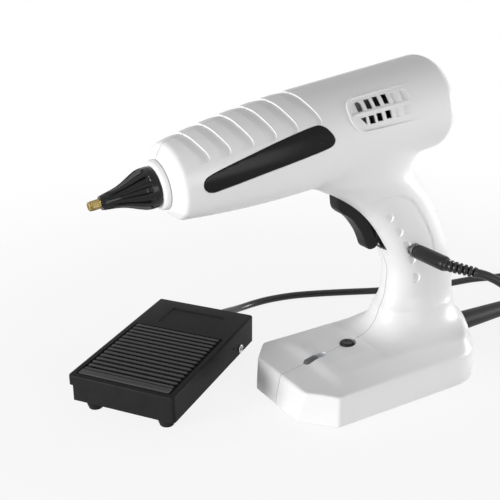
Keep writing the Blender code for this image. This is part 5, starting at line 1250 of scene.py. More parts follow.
@dataclass(frozen=True)
class Studio:
    """White floor that keeps the shadow and runs out into white, even sky and the lamps."""

    floor_half: float = 3.0
    floor_level: float = -0.0002
    floor_near: float = 0.15
    floor_far: float = 0.55
    floor_lift: float = 0.86
    ambient: float = 0.22
    lamps: tuple[Lamp, ...] = (
        Lamp("key", (-1.50, 0.0, 0.22), 21.5, 0.5),
        Lamp("front", (0.12, -1.50, 0.24), 7.8, 0.8),
        Lamp("rim", (1.35, -0.42, 0.20), 13.5, 0.3),
    )

    def build(self) -> None:
        """Create floor, world and lamps."""
        half = self.floor_half
        corners = [(x, y, self.floor_level) for x, y in rectangle((-half, -half), (half, half))]
        floor = new_piece("floor", corners, [(0, 1, 2, 3)])
        floor.data.materials.append(self._floor_look())
        self._world()
        for lamp in self.lamps:
            lamp.place()
        bpy.context.scene.view_settings.view_transform = "Standard"

    @staticmethod
    def _seen(bench: Bench) -> Wire:
        """1 for rays that should see a plain white background."""
        path = bench.add("ShaderNodeLightPath", output="Is Camera Ray")
        node = path.socket.node
        seen = path
        for name in ("Is Glossy Ray", "Is Transmission Ray"):
            other = Wire(bench, node.outputs[name])
            seen = bench.add("ShaderNodeMath", {"operation": "MAXIMUM"}, {0: seen, 1: other})
        return seen

    def _floor_look(self) -> bpy.types.Material:
        """Paper floor: lit and shadowed by the machine, and plain white to the camera farther out."""
        bench = Bench("floor_paper")
        place = bench.place()
        fibre = bench.noise(place, 0.004, 3.0)
        paper = bench.add("ShaderNodeBsdfDiffuse", None, {"Color": (0.95, 0.95, 0.95, 1.0),
                                                          "Normal": bench.bump(fibre, 0.00002)})
        white = bench.add("ShaderNodeEmission", None, {"Color": (1.0, 1.0, 1.0, 1.0)})
        reach = bench.add("ShaderNodeVectorMath", {"operation": "LENGTH"}, {0: place}, output="Value")
        share = reach.above(self.floor_near, self.floor_far) * (1 - self.floor_lift) + self.floor_lift
        inputs = {0: self._seen(bench) * share, 1: paper, 2: white}
        return bench.close(bench.add("ShaderNodeMixShader", None, inputs))

    def _world(self) -> None:
        """Even light on the object, and plain white behind it."""
        world = bpy.data.worlds.new("studio")
        bpy.context.scene.world = world
        world.use_nodes = True
        bench = Bench.of_tree(world.node_tree)
        strength = self._seen(bench) * (1 - self.ambient) + self.ambient
        light = bench.add("ShaderNodeBackground", None, {"Color": (1.0, 1.0, 1.0, 1.0), "Strength": strength})
        output = bench.tree.nodes.new("ShaderNodeOutputWorld")
        bench.tree.links.new(light.socket, output.inputs["Surface"])


# Casing


@dataclass(frozen=True)
class VentRow:
    """One row of vents: places along the barrel, and heights of openings and louvres over its axis."""

    places: tuple[float, ...]
    opening: Pair
    louvre: Pair
    first_corner: float
    first_pointed: bool


@dataclass
class Casing:
    """White casing in two halves, cut for everything that passes through it."""

    form: CasingForm = CasingForm()
    wall: float = 0.0024
    seam: float = 0.0003
    inner_voxel: float = 0.0017
    crisp_fold: float = 34.0
    room: Pair = (0.5, 0.2)
    relief_step: float = 0.0013
    crisp_corner: float = 0.0003

    nose_bore: Pair = (0.0086, 0.0050)
    nose_overrun: float = 0.0100
    inlet_bore: Pair = (0.0091, 0.0060)
    label_depth: float = 0.0010
    label_step: float = 0.0016

    groove_depth: float = 0.0008
    groove_lift: float = 0.00006
    groove_round: float = 0.0022
    groove_end_share: float = 0.55
    groove_fade: Pair = (27.0, 9.0)
    groove_curve: float = 1.3

    vent_round: float = 0.0016
    vent_end: float = 0.1437
    vent_fade: float = 0.030
    vent_proud: float = 0.00010
    vent_sink: float = 0.00110
    vent_width: float = 0.0037
    vent_lean: float = 0.0004
    vent_open: int = 4
    vent_cut: Pair = (0.012, 0.040)
    rim_width: float = 0.0014
    rim_height: float = 0.00055
    rim_root: float = 0.0009
    rim_sink: float = 0.00012
    rim_end: float = 0.1440
    louvre_run: float = 0.0012
    louvre_depth: float = 0.0008
    louvre_sink: float = 0.00004
    louvre_step: float = 0.0012
    bar_depth: float = 0.0019
    thinning_depth: float = 0.0060
    rail_levels: tuple[Pair, ...] = ((0.0, -0.0019), (0.0, -0.0004), (0.0002, -0.0001))

    slot_size: Pair = (0.016, 0.005)
    socket_hole: float = 0.0035
    boot_hole: float = 0.0053
    trigger_half: float = 0.0054
    foot_gap: float = 0.0002
    foot_depth: float = 0.0045

    rest_radius: float = 0.0032
    rest_depth: float = 0.0008
    rest_slant: float = 0.0003
    rest_flare: Pair = (0.0040, 0.0012)

    pocket_radius: float = 0.0029
    pocket_depth: float = 0.0021
    boss_radius: float = 0.0046
    screw_radius: float = 0.0016

    # Size of the squares of the surface, and rounds in which it settles on the form
    SQUARES = ((0.0016, 12), (0.00085 * 1.15, 6), (0.00085, 4))
    # Grip grooves: place of the rear edge at the crown, and width of the scooped band
    GROOVES = ((0.0114, 0.0062), (0.0228, 0.0066), (0.0351, 0.0070), (0.0479, 0.0072),
               (0.0605, 0.0074), (0.0745, 0.0078))
    # Rear edge of a groove: angle over the side in degrees and shift to the rear
    GROOVE_EDGE = ((90.0, 0.0), (84.0, 0.0), (72.0, 0.0006), (59.0, 0.0013), (48.0, 0.0025),
                   (41.0, 0.0034), (35.0, 0.0037), (31.0, 0.0030), (29.0, 0.0017))
    # Outlines seen from the side: place along the barrel and height over its axis
    VENT_FRAME = ((0.1005, 0.0199), (0.0968, 0.0184), (0.0955, 0.0160), (0.0952, 0.0110), (0.0968, 0.0075),
                  (0.0996, 0.0045), (0.1033, 0.0036), (0.1200, 0.0024), (0.1421, 0.0013), (0.1437, 0.0100),
                  (0.1437, 0.0191), (0.1200, 0.0197))
    VENT_RAIL = ((0.0975, 0.0124), (0.1340, 0.0111), (0.1385, 0.0114), (0.1340, 0.0122), (0.0975, 0.0135))
    VENT_THINNING = ((0.1005, 0.0052), (0.1228, 0.0050), (0.1228, 0.0188), (0.1005, 0.0190))
    VENT_ROWS = (
        VentRow((0.1030, 0.1091, 0.1146, 0.1203, 0.1258, 0.1318), (0.0133, 0.0178), (0.0130, 0.0181),
                0.0013, False),
        VentRow((0.1032, 0.1083, 0.1134, 0.1192, 0.1250, 0.1310), (0.0062, 0.0103), (0.0058, 0.0106),
                0.0003, True),
    )
    # Finger rests on the handle's side: place and height
    RESTS = ((0.0008, 0.1091), (0.0090, 0.0989), (0.0156, 0.0891), (0.0204, 0.0790), (0.0249, 0.0670))
    REST_START = 0.0150
    # Slot of the trigger round its pivot, as shares of the lever's drop
    SLOT_SHARES = ((-0.60, -0.072), (-0.60, -1.06), (0.80, -1.06), (0.80, -0.69), (0.42, -0.52),
                   (0.42, -0.072))
    # Hole of the power button: place along its axis and radius
    BUTTON_HOLE = ((-0.008, 0.0046), (-0.0004, 0.0046), (0.0003, 0.0053), (0.004, 0.0090))

    def build(self, shelf: Shelf) -> None:
        """Make the two halves.

        Args:
            shelf: the finishes.
        """
        outer = self.form.rough()
        for size, rounds in self.SQUARES:
            remeshed(outer, size)
            self.form.settle(outer, 0.0, rounds)
        inner = copied("inner", outer)
        self.form.settle(inner, self.wall, 6)
        remeshed(inner, self.inner_voxel)
        self.form.settle(inner, self.wall, 3)
        worked(outer, Work.CUT, inner)
        LOG.info("casing shell: %d faces", len(outer.data.polygons))
        self._cut_barrel(outer)
        self._cut_body(outer)
        reach, depth = self.room
        for side, name in ((Side.NEAR, "left_shell"), (Side.FAR, "right_shell")):
            half = copied(name + "_fine", outer)
            if side is Side.FAR:
                self._add_bosses(half)
            ends = sorted((side.value * self.seam / 2, side.value * depth))
            keep = slab("half", rectangle((-reach, -reach), (reach, reach)), [(0.0, end) for end in ends],
                        sideways)
            worked(half, Work.KEEP, keep)
            dressed(smoothed(half, self.crisp_fold), shelf["shell"], "casing", Slot.WHITE, name)
        discard(outer)

    def _cut_barrel(self, outer: bpy.types.Object) -> None:
        """Grooves, label recess, vents, nose bore and inlet hole."""
        skin = self.form.skin
        for index, (rear, width) in enumerate(self.GROOVES):
            worked(outer, Work.CUT, self._groove("groove_%d" % index, rear, width))
        levels = [(0.0, -self.label_depth), (0.0, OVERRUN)]
        label = patched("label_recess", Label().outline(), self.label_step, levels, skin.over())
        worked(outer, Work.CUT, label)
        for side in Side:
            over = skin.over(side)
            worked(outer, Work.JOIN, self._vent_rim(over))
            worked(outer, Work.CUT, self._vent_recess(over))
            louvres = gathered("vent_louvres", self._vent_louvres(over))
            worked(outer, Work.CUT, louvres, self._vent_thinning(over))
            worked(outer, Work.CUT, gathered("vent_openings", self._vent_openings(side)))
            rail = slab("vent_rail", self._unrolled(self.VENT_RAIL), self.rail_levels, over)
            worked(outer, Work.JOIN, rail)
        radius, depth = self.nose_bore
        nose = turned("nose_bore", [(-self.nose_overrun, radius), (depth, radius)], skin.matrix())
        radius, depth = self.inlet_bore
        inlet = turned("inlet_hole", [(skin.length - depth, radius), (skin.length + OVERRUN, radius)],
                       skin.matrix())
        worked(outer, Work.CUT, gathered("barrel_bores", [nose, inlet]))

    def _groove(self, name: str, rear: float, width: float) -> bpy.types.Object:
        """Cutter of one grip groove: deepest at its crisp rear edge, running out to the front."""
        skin = self.form.skin
        angles, shifts = zip(*sorted(self.GROOVE_EDGE))
        edge = [*zip(shifts, angles)]
        edge += [(shift, 180.0 - angle) for shift, angle in reversed(edge[:-1])]
        arcs = [math.radians(angle) * skin.radius for _, angle in edge]
        widths = [width] * len(edge)
        widths[0] = widths[-1] = width * self.groove_end_share
        back = [(rear + shift, arc) for (shift, _), arc in zip(edge, arcs)]
        front = [(place - span, arc) for (place, arc), span in zip(back, widths)]
        outline = rounded([*back, *front[::-1]], self.groove_round, 4, closed=True)
        fade_start, fade_run = self.groove_fade

        def depth(place: float, arc: float) -> float:
            """Floor of the groove under the skin, which comes out of it at the front."""
            angle = math.degrees(arc / skin.radius)
            folded = min(angle, 180.0 - angle)
            here = rear + float(np.interp(folded, angles, shifts))
            share = max(0.0, min(1.2, 1.0 - (here - place) / width))
            end = min(1.0, max(0.0, (folded - fade_start) / fade_run))
            most = self.groove_depth + self.groove_lift
            return self.groove_lift - most * share ** self.groove_curve * (0.35 + 0.65 * end)

        return patched(name, outline, self.relief_step, [(0.0, depth), (0.0, OVERRUN)], skin.over())

    def _unrolled(self, line: Sequence[Pair], corner: float = 0.0, steps: int = 4) -> list[Pair]:
        """An outline seen from the side, laid on the unrolled barrel, with its corners rounded."""
        spots = [self.form.skin.unrolled(*spot) for spot in line]
        return rounded(spots, corner, steps, closed=True) if corner else spots

    def _faded(self, end: float, place: float) -> float:
        """Share of a relief that is left at a place, where it dies out to the rear."""
        return min(1.0, max(0.0, (end - place) / self.vent_fade))

    def _sunk(self, place: float) -> float:
        """Floor of the field round the vents, which comes out of the skin at the rear."""
        return self.vent_proud - self.vent_sink * self._faded(self.vent_end, place)

    def _vent_rim(self, over: Placer) -> bpy.types.Object:
        """Raised rim round the sunk field, which dies out to the rear."""

        def top(place: float, arc: float) -> float:
            """Height of the rim."""
            return self.rim_height * self._faded(self.rim_end, place) - self.rim_sink

        line = counter_clockwise(self._unrolled(self.VENT_FRAME, self.vent_round, 5))
        levels = [(0.0, -self.rim_root), (0.0, -self.rim_sink), (self.rim_width * 0.55, top)]
        return patched("vent_rim", drawn_in(line, -self.rim_width), self.relief_step, levels, over)

    def _vent_recess(self, over: Placer) -> bpy.types.Object:
        """Cutter of the sunk field."""
        levels = [(0.0, lambda place, arc: self._sunk(place)), (0.0, OVERRUN)]
        line = self._unrolled(self.VENT_FRAME, self.vent_round, 5)
        return patched("vent_recess", line, self.relief_step, levels, over)

    def _vent_louvres(self, over: Placer) -> list[bpy.types.Object]:
        """Cutters of the closed louvres, each with a slanted floor."""
        tools = []
        for row in self.VENT_ROWS:
            low, high = row.louvre
            for place in row.places[self.vent_open:]:
                start, stop = place - self.vent_width / 2, place + self.vent_width / 2 + self.louvre_run
                corners = [(start, low), (stop, low - self.vent_lean), (stop, high - self.vent_lean),
                           (start, high)]

                def floor(a: float, b: float, start: float = start, stop: float = stop) -> float:
                    """Floor of the louvre, deepest at its front."""
                    rising = 1.0 - (a - start) / (stop - start)
                    return self._sunk(a) - self.louvre_depth * rising - self.louvre_sink

                tools.append(patched("louvre", self._unrolled(corners, self.crisp_corner), self.louvre_step,
                                     [(0.0, floor), (0.0, OVERRUN)], over))
        return tools

    def _vent_thinning(self, over: Placer) -> bpy.types.Object:
        """Cutter inside the wall, which leaves the bars between the openings thin."""
        return patched("vent_thinning", self._unrolled(self.VENT_THINNING, 0.0010, 3), self.relief_step,
                       [(0.0, -self.thinning_depth), (0.0, -self.bar_depth)], over)

    def _vent_openings(self, side: Side) -> list[bpy.types.Object]:
        """Cutters of the upright openings of both rows, through the wall."""
        matrix = self.form.skin.matrix()
        half = self.vent_width / 2

        def through(a: float, b: float, height: float) -> Vector:
            """A point of a cut across the wall."""
            return matrix @ Vector((a, side.value * height, b))

        tools = []
        for row in self.VENT_ROWS:
            low, high = row.opening
            for index, place in enumerate(row.places[:self.vent_open]):
                line = [(place - half, low), (place + half, low - self.vent_lean),
                        (place + half, high - self.crisp_corner), (place - half, high)]
                if row.first_pointed and index == 0:
                    line = [(place - half, high), (place + half * 0.7, low), (place + half, high)]
                corner = self.crisp_corner if index else row.first_corner
                tools.append(slab("opening", rounded(line, corner, 4, closed=True),
                                  [(0.0, height) for height in self.vent_cut], through))
        return tools

    def _cut_body(self, outer: bpy.types.Object) -> None:
        """Openings of the base, handle and neck, and the finger rests."""
        controls, jack, mains, trigger = Controls(), JackSide(), MainsSide(), Trigger()
        x = controls.button_place
        button = turned("button_hole", self.BUTTON_HOLE, turned_frame((x, 0.0, strip_height(x)), -90, "Y"))
        slot = slab("slider_slot", stadium(*self.slot_size), [(0.0, -0.005), (0.0, 0.004)],
                    framed(controls.slider_frame()))
        x, z = jack.place
        socket = rod("socket_hole", self.socket_hole, (x, -0.045, z), (x, -0.006, z))
        boot = rod("boot_hole", self.boot_hole, (0.055, 0.0, mains.height), (0.080, 0.0, mains.height))
        slot_line = trigger.placed(self.SLOT_SHARES)
        gap = slab("trigger_slot", slot_line, [(0.0, -self.trigger_half), (0.0, self.trigger_half)], sideways)
        plate = [vertex.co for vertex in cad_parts["base_plate"].data.vertices if vertex.co.z < 0.001]
        rim = hull_outline([(point.x, point.y) for point in plate])
        foot = slab("foot_opening", rim, [(-self.foot_gap, -0.002), (-self.foot_gap, self.foot_depth)],
                    framed(Matrix()))
        worked(outer, Work.CUT, gathered("openings", [button, slot, socket, boot, gap, foot]))
        for index in range(len(self.RESTS)):
            for side in Side:
                worked(outer, Work.CUT, self._finger_rest(index, side))

    def _finger_rest(self, index: int, side: Side) -> bpy.types.Object:
        """Cutter of one finger rest: a shallow disc, tilted so that only its rear edge bites."""
        place, height = self.RESTS[index]
        point, normal = self.form.outward(Vector((place, side.value * self.REST_START, height)))
        before = self.RESTS[max(index - 1, 0)]
        after = self.RESTS[min(index + 1, len(self.RESTS) - 1)]
        down = Vector((after[0] - before[0], 0.0, after[1] - before[1])).normalized()
        back = down.cross(normal) * side.value
        back = (back - normal * back.dot(normal)).normalized()
        if back.x < 0:
            back = -back
        radius, depth, floor = self.rest_radius, self.rest_depth, self.rest_radius - self.rest_slant
        bite = math.asin(depth / (2 * radius))
        axis = normal * math.cos(bite) + back * math.sin(bite)
        across = back * math.cos(bite) - normal * math.sin(bite)
        start = point - normal * depth - across * floor
        matrix = Matrix.Translation(start) @ axis.to_track_quat("X", "Z").to_matrix().to_4x4()
        high, wider = self.rest_flare
        profile = [(0.0, floor), (self.rest_slant, radius), (high, radius + wider)]
        return turned("finger_rest", profile, matrix, 48)

    def _add_bosses(self, half: bpy.types.Object) -> None:
        """Bosses of the three case screws with their holes and head pockets, on the far side."""
        for name in ("front", "rear", "handle"):
            low, high = box_of("shell_screw_" + name)
            middle = (low + high) / 2

            def bar(label: str, width: float, start: float, stop: float) -> bpy.types.Object:
                """A bar beside the screw, between two places in Y."""
                return rod(label, width, (middle.x, start, middle.z), (middle.x, stop, middle.z))

            boss = bar("boss", self.boss_radius, -0.004, 0.010)
            for vertex in boss.data.vertices:
                if vertex.co.y > 0.0:
                    vertex.co.y = self._wall_at(vertex.co) - self.wall * 0.5
            worked(half, Work.JOIN, boss)
            worked(half, Work.CUT, bar("screw_hole", self.screw_radius, -0.01, high.y))
            worked(half, Work.CUT, bar("head_pocket", self.pocket_radius, high.y - self.pocket_depth, 0.045))

    def _wall_at(self, middle: Vector) -> float:
        """Place in Y where the far side's outer face lies beside a point."""
        places = np.linspace(0.004, 0.040, 200)
        points = np.array([(middle.x, y, middle.z) for y in places])
        inside = self.form.distance(points) < 0
        return float(places[inside].max())


def hull_outline(points: Sequence[Pair]) -> list[Pair]:
    """Convex outline round points, counter-clockwise."""
    spots = sorted(set((round(x, 6), round(y, 6)) for x, y in points))

    def chain(ordered: Sequence[Pair]) -> list[Pair]:
        """One side of the outline."""
        side: list[Pair] = []
        for spot in ordered:
            while len(side) > 1:
                (ax, ay), (bx, by) = side[-2], side[-1]
                if (bx - ax) * (spot[1] - ay) - (by - ay) * (spot[0] - ax) > 0:
                    break
                side.pop()
            side.append(spot)
        return side[:-1]

    return chain(spots) + chain(spots[::-1])


def strip_height(place: float) -> float:
    """Height of the middle strip's top line at a place."""
    places, heights = zip(*CasingForm.STRIP_LINE)
    return float(np.interp(place, places, heights))


# Cords


LEAD_RADIUS = 0.0035
CORD_RADIUS = 0.0025
COIL_GAP = 0.0007
COIL_STEPS = 48


def coil_points(centre: Pair, outer: float, radius: float, turns: float) -> list[Point]:
    """A round coil that spirals in on the floor, climbs over half a turn and spirals out on top."""
    pitch = 2 * radius + COIL_GAP
    half = turns / 2
    points = []
    for index in range(round(turns * COIL_STEPS) + 1):
        turn = index / COIL_STEPS
        reach = outer - pitch * (half - abs(half - turn))
        climb = min(max((turn - half + 0.25) / 0.5, 0.0), 1.0)
        angle = QUARTER - math.tau * turn
        points.append((centre[0] + reach * math.cos(angle), centre[1] + reach * math.sin(angle),
                       radius + climb * pitch))
    return points


@dataclass(frozen=True)
class Cord:
    """A free cord: its route from where it leaves the machine to what is on its end."""

    name: str
    radius: float
    route: tuple[Point, ...]
    nodes: tuple[str, ...]
    far_end: str
    on_it: tuple[str, ...]

    def build(self, shelf: Shelf) -> None:
        """Make the cord as one curve."""
        points = spline(self.route, self.radius * 0.8)
        data = bpy.data.curves.new(self.name, "CURVE")
        data.dimensions = "3D"
        data.bevel_depth = self.radius
        data.bevel_resolution = 6
        data.use_fill_caps = True
        line = data.splines.new("POLY")
        line.points.add(len(points) - 1)
        for knot, point in zip(line.points, points):
            knot.co = (*point, 1.0)
        line.use_smooth = True
        item = bpy.data.objects.new(self.name, data)
        bpy.context.scene.collection.objects.link(item)
        length = sum((after - before).length for before, after in zip(points, points[1:]))
        dressed(item, shelf["cord"], "casing", Slot.CORD, *self.nodes)
        tuple(points[0])
        2 * self.radius
        [bpy.data.objects[name] for name in self.on_it]
        LOG.info("%s is %.3f m long", self.name, length)


LEAD_ROUTE = ((0.1293, 0.0, 0.0180), (0.1365, 0.0, 0.0179), (0.1460, -0.0001, 0.0163),
              (0.1560, -0.0006, 0.0128), (0.1660, -0.0018, 0.0090), (0.1760, -0.0038, 0.0060),
              (0.1855, -0.0060, 0.0042), (0.1935, -0.0072, 0.0035), (0.1995, -0.0075, 0.0035),
              (0.2050, -0.0075, 0.0035))
LEAD_LEAVE_ROUTE = ((0.2020, -0.1108, 0.0108), (0.1930, -0.1116, 0.0092), (0.1850, -0.1122, 0.0076),
                    (0.1790, -0.1125, 0.0070), (0.1740, -0.1125, 0.0070), (0.1671, -0.1125, 0.0070))
CORD_RUN_ROUTE = ((-0.0563, 0.0962, 0.0130), (-0.0520, 0.0993, 0.0129), (-0.0440, 0.1048, 0.0115),
                  (-0.0350, 0.1107, 0.0086), (-0.0255, 0.1165, 0.0055), (-0.0160, 0.1210, 0.0034),
                  (-0.0060, 0.1235, 0.0026), (0.0080, 0.1237, 0.0025), (0.0260, 0.1205, 0.0025),
                  (0.0450, 0.1135, 0.0025), (0.0650, 0.1045, 0.0025), (0.0850, 0.0950, 0.0025),
                  (0.1050, 0.0870, 0.0025), (0.1250, 0.0800, 0.0025), (0.1450, 0.0760, 0.0025),
                  (0.1630, 0.0730, 0.0025), (0.1800, 0.0675, 0.0025), (0.1960, 0.0630, 0.0025),
                  (0.2140, 0.0615, 0.0025), (0.2320, 0.0640, 0.0025), (0.2447, 0.0645, 0.0025))
CORD_TAIL_ROUTE = ((0.2845, 0.0247, 0.0082), (0.2845, 0.0190, 0.0081), (0.2842, 0.0080, 0.0066),
                   (0.2832, -0.0040, 0.0044), (0.2815, -0.0170, 0.0029), (0.2795, -0.0310, 0.0025),
                   (0.2775, -0.0460, 0.0025), (0.2755, -0.0620, 0.0025), (0.2720, -0.0790, 0.0025),
                   (0.2655, -0.0960, 0.0025), (0.2545, -0.1120, 0.0025), (0.2380, -0.1260, 0.0025),
                   (0.2170, -0.1350, 0.0025), (0.1940, -0.1390, 0.0025), (0.1700, -0.1395, 0.0025),
                   (0.1480, -0.1375, 0.0025), (0.1310, -0.1340, 0.0026), (0.1160, -0.1285, 0.0038),
                   (0.1020, -0.1215, 0.0075), (0.0890, -0.1135, 0.0150), (0.0780, -0.1045, 0.0255),
                   (0.0690, -0.0960, 0.0375), (0.0610, -0.0880, 0.0500), (0.0530, -0.0800, 0.0615),
                   (0.0450, -0.0712, 0.0720), (0.0375, -0.0643, 0.0789), (0.0320, -0.0598, 0.0821),
                   (0.0281, -0.0565, 0.0833))
RELIEF_ROUTE = ((0.0188, -0.0380, 0.0853), (0.0188, -0.0420, 0.0853), (0.0196, -0.0460, 0.0853),
                (0.0218, -0.0505, 0.0850), (0.0248, -0.0537, 0.0843), (0.0278, -0.0562, 0.0834))


def cords() -> tuple[Cord, Cord]:
    """The mains lead and the pedal's cord, each as one route."""
    lead_coil = coil_points((0.212, -0.0590), 0.0515, LEAD_RADIUS, 6.5)
    cord_coil = coil_points((0.250, 0.0300), 0.0345, CORD_RADIUS, 4.25)
    lead = Cord("mains_cord", LEAD_RADIUS, (*LEAD_ROUTE[:-1], *lead_coil, *LEAD_LEAVE_ROUTE),
                ("mains_lead", "mains_lead_coil"), "plug", ("mains_plug_body", "mains_plug_pins"))
    pedal = Cord("pedal_cord", CORD_RADIUS, (*CORD_RUN_ROUTE[:-1], *cord_coil, *CORD_TAIL_ROUTE[1:]),
                 ("pedal_cord_run", "pedal_cord_coil", "pedal_cord_tail"), "plug",
                 ("jack_plug_grip", "jack_plug_ribs"))
    return lead, pedal


# Pieces on the gun


@dataclass
class Nose:
    """Ring, ribbed cap and brass tip at the front of the barrel."""

    skin: BarrelSkin = BarrelSkin()
    ribs: int = 12
    panel_depth: float = 0.0014
    panel_width: float = 0.36
    panel_range: Pair = (-0.0345, -0.0125)
    panel_runs: Pair = (0.0060, 0.0022)
    knurl_depth: float = 0.00016
    knurl_range: Pair = (-0.0413, -0.0370)
    knurls: int = 18

    # Outlines of the turned pieces: place along the barrel's axis and radius
    RING = ((-0.0083, 0.0062), (-0.0083, 0.0115), (-0.0072, 0.0125), (-0.0056, 0.0130), (-0.0053, 0.0130),
            (-0.0053, 0.0062))
    TIP = ((-0.0427, 0.0011), (-0.0427, 0.0020), (-0.0422, 0.0023), (-0.0419, 0.0023), (-0.0418, 0.0021),
           (-0.0415, 0.0021), (-0.0414, 0.0024), (-0.0369, 0.0024), (-0.0368, 0.0017), (-0.0292, 0.0017),
           (-0.0292, 0.0009), (-0.0419, 0.0009))
    CAP_INSIDE = ((-0.0086, 0.0096), (-0.0086, 0.0048), (-0.0340, 0.0021), (-0.0364, 0.0021))
    # Side of the cap: place along the barrel's axis and radius
    CAP_SIDE = ((-0.0365, 0.0034), (-0.0350, 0.0038), (-0.0300, 0.0046), (-0.0270, 0.0053), (-0.0240, 0.0063),
                (-0.0210, 0.0076), (-0.0180, 0.0090), (-0.0155, 0.0100), (-0.0135, 0.0104), (-0.0115, 0.0105),
                (-0.0098, 0.0105), (-0.0089, 0.0101))

    def build(self, shelf: Shelf) -> None:
        """Make the three pieces."""
        matrix = self.skin.matrix()
        ring = rounded(self.RING, 0.0005, 3, closed=True)
        item = turned("nose_ring_fine", ring, matrix, 128, looped=True)
        dressed(smoothed(item), shelf["shell"], "casing", Slot.WHITE, "nose_ring")
        places, radii = zip(*self.CAP_SIDE)
        sides = [(float(place), float(np.interp(place, places, radii)))
                 for place in np.linspace(places[0], places[-1], 110)]
        cap = turned("nozzle_cap_fine", [*sides, *self.CAP_INSIDE], matrix, 240, looped=True,
                     shape=self._panel)
        dressed(smoothed(cap, 40.0), shelf["cap"], "casing", Slot.CAP, "nozzle_cap")
        tip = rounded(self.TIP, 0.00015, 3, closed=True)
        item = turned("nozzle_tip_fine", tip, matrix, 72, looped=True, shape=self._knurl)
        dressed(smoothed(item), shelf["brass"], "casing", Slot.BRASS, "nozzle_tip")

    def _panel(self, place: float, angle: float) -> float:
        """What the long panels between the cap's ribs take off its radius."""
        start, end = self.panel_range
        if not start <= place <= end:
            return 0.0
        turn = (angle / math.tau * self.ribs) % 1.0
        across = abs(turn - 0.5) / self.panel_width
        front_run, rear_run = self.panel_runs
        along = min((end - place) / rear_run, (place - start) / front_run, 1.0)
        width = max(0.0, 1.0 - max(across - 0.7, 0.0) / 0.3) if across < 1 else 0.0
        smooth = width * width * (3 - 2 * width)
        radius = float(np.interp(place, *zip(*self.CAP_SIDE)))
        return self.panel_depth * (radius / 0.0105) * smooth * math.sqrt(max(along, 0.0))

    def _knurl(self, place: float, angle: float) -> float:
        """Fine grip marks on the tip's front part."""
        start, end = self.knurl_range
        if not start < place < end:
            return 0.0
        return self.knurl_depth * (1 + math.cos(angle * self.knurls)) / 2


@dataclass
class Label:
    """Bare panel let into the near side of the barrel."""

    skin: BarrelSkin = BarrelSkin()
    thickness: float = 0.0008
    edge: float = 0.0002
    gap: float = 0.0002
    sunk: float = 0.00005

    # Outline seen from the side: place along the barrel and height over its axis
    OUTLINE = ((0.0082, 0.0002), (0.0091, 0.0030), (0.0120, 0.0048), (0.0205, 0.0068), (0.0345, 0.0092),
               (0.0491, 0.0114), (0.0620, 0.0129), (0.0733, 0.0137), (0.0768, 0.0131), (0.0800, 0.0106),
               (0.0826, 0.0060), (0.0824, 0.0034), (0.0800, 0.0016), (0.0750, 0.0008), (0.0619, -0.0002),
               (0.0400, -0.0018), (0.0200, -0.0037), (0.0130, -0.0042), (0.0094, -0.0026))

    def outline(self) -> list[Pair]:
        """Outline of the panel's recess on the unrolled barrel."""
        return flat_spline([self.skin.unrolled(*spot) for spot in self.OUTLINE], 0.0008, closed=True)

    def build(self, shelf: Shelf) -> None:
        """Make the panel."""
        low, high = -self.thickness, -self.sunk
        levels = [(self.gap, low), (self.gap, high - self.edge),
                  (self.gap + self.edge * 0.3, high - self.edge * 0.3), (self.gap + self.edge, high)]
        item = patched("label_panel_fine", self.outline(), 0.0014, levels, self.skin.over())
        dressed(smoothed(item), shelf["gloss"], "casing", Slot.LABEL, "label_panel")


@dataclass
class Trigger:
    """Lever of the trigger, with teeth along its rear edge."""

    pivot: Point = (-0.0250, 0.0, 0.1285)
    drop: float = 0.0415
    half_width: float = 0.0048
    edge: float = 0.0011
    tooth: float = 0.0011
    pin_radius: float = 0.0018

    # Outline round the pivot, as shares of the drop, and the part of it that has teeth
    OUTLINE_SHARES = ((-0.145, -0.060), (-0.128, -0.180), (-0.104, -0.313), (-0.036, -0.390), (0.060, -0.450),
                      (0.145, -0.523), (0.229, -0.624), (0.306, -0.735), (0.366, -0.855), (0.410, -0.957),
                      (0.460, -1.000), (0.545, -0.995), (0.607, -0.950), (0.590, -0.860), (0.540, -0.740),
                      (0.470, -0.620), (0.388, -0.520), (0.372, -0.490), (0.372, -0.300), (0.200, -0.190),
                      (0.140, 0.000), (0.090, 0.095), (0.000, 0.130), (-0.090, 0.100), (-0.140, 0.020))
    TOOTHED = (12, 16)

    def placed(self, shares: Sequence[Pair]) -> list[Pair]:
        """Places and heights of points given round the pivot, as shares of the drop."""
        return [(self.pivot[0] + a * self.drop, self.pivot[2] + b * self.drop) for a, b in shares]

    def build(self, shelf: Shelf) -> None:
        """Make the lever."""
        first, last = self.TOOTHED
        smooth = flat_spline(self.OUTLINE_SHARES[:first + 1], 0.02)
        edge = flat_spline(self.OUTLINE_SHARES[first:last + 1], 0.022)
        teeth = []
        for index, (a, b) in enumerate(edge[1:]):
            bite = self.tooth / self.drop if index % 4 in (2, 3) else 0.0
            teeth.append((a - bite * 0.8, b + bite * 0.4))
        outline = self.placed([*smooth, *teeth, *self.OUTLINE_SHARES[last + 1:]])
        levels = edge_levels(-self.half_width, self.half_width, self.edge, 5)
        item = slab("trigger_lever", outline, levels, sideways)
        x, _, z = self.pivot
        hole = rod("pin_hole", self.pin_radius, (x, -0.01, z), (x, 0.01, z))
        worked(item, Work.CUT, hole)
        dressed(smoothed(item), shelf["grained"], "trigger", Slot.BLACK, "trigger")


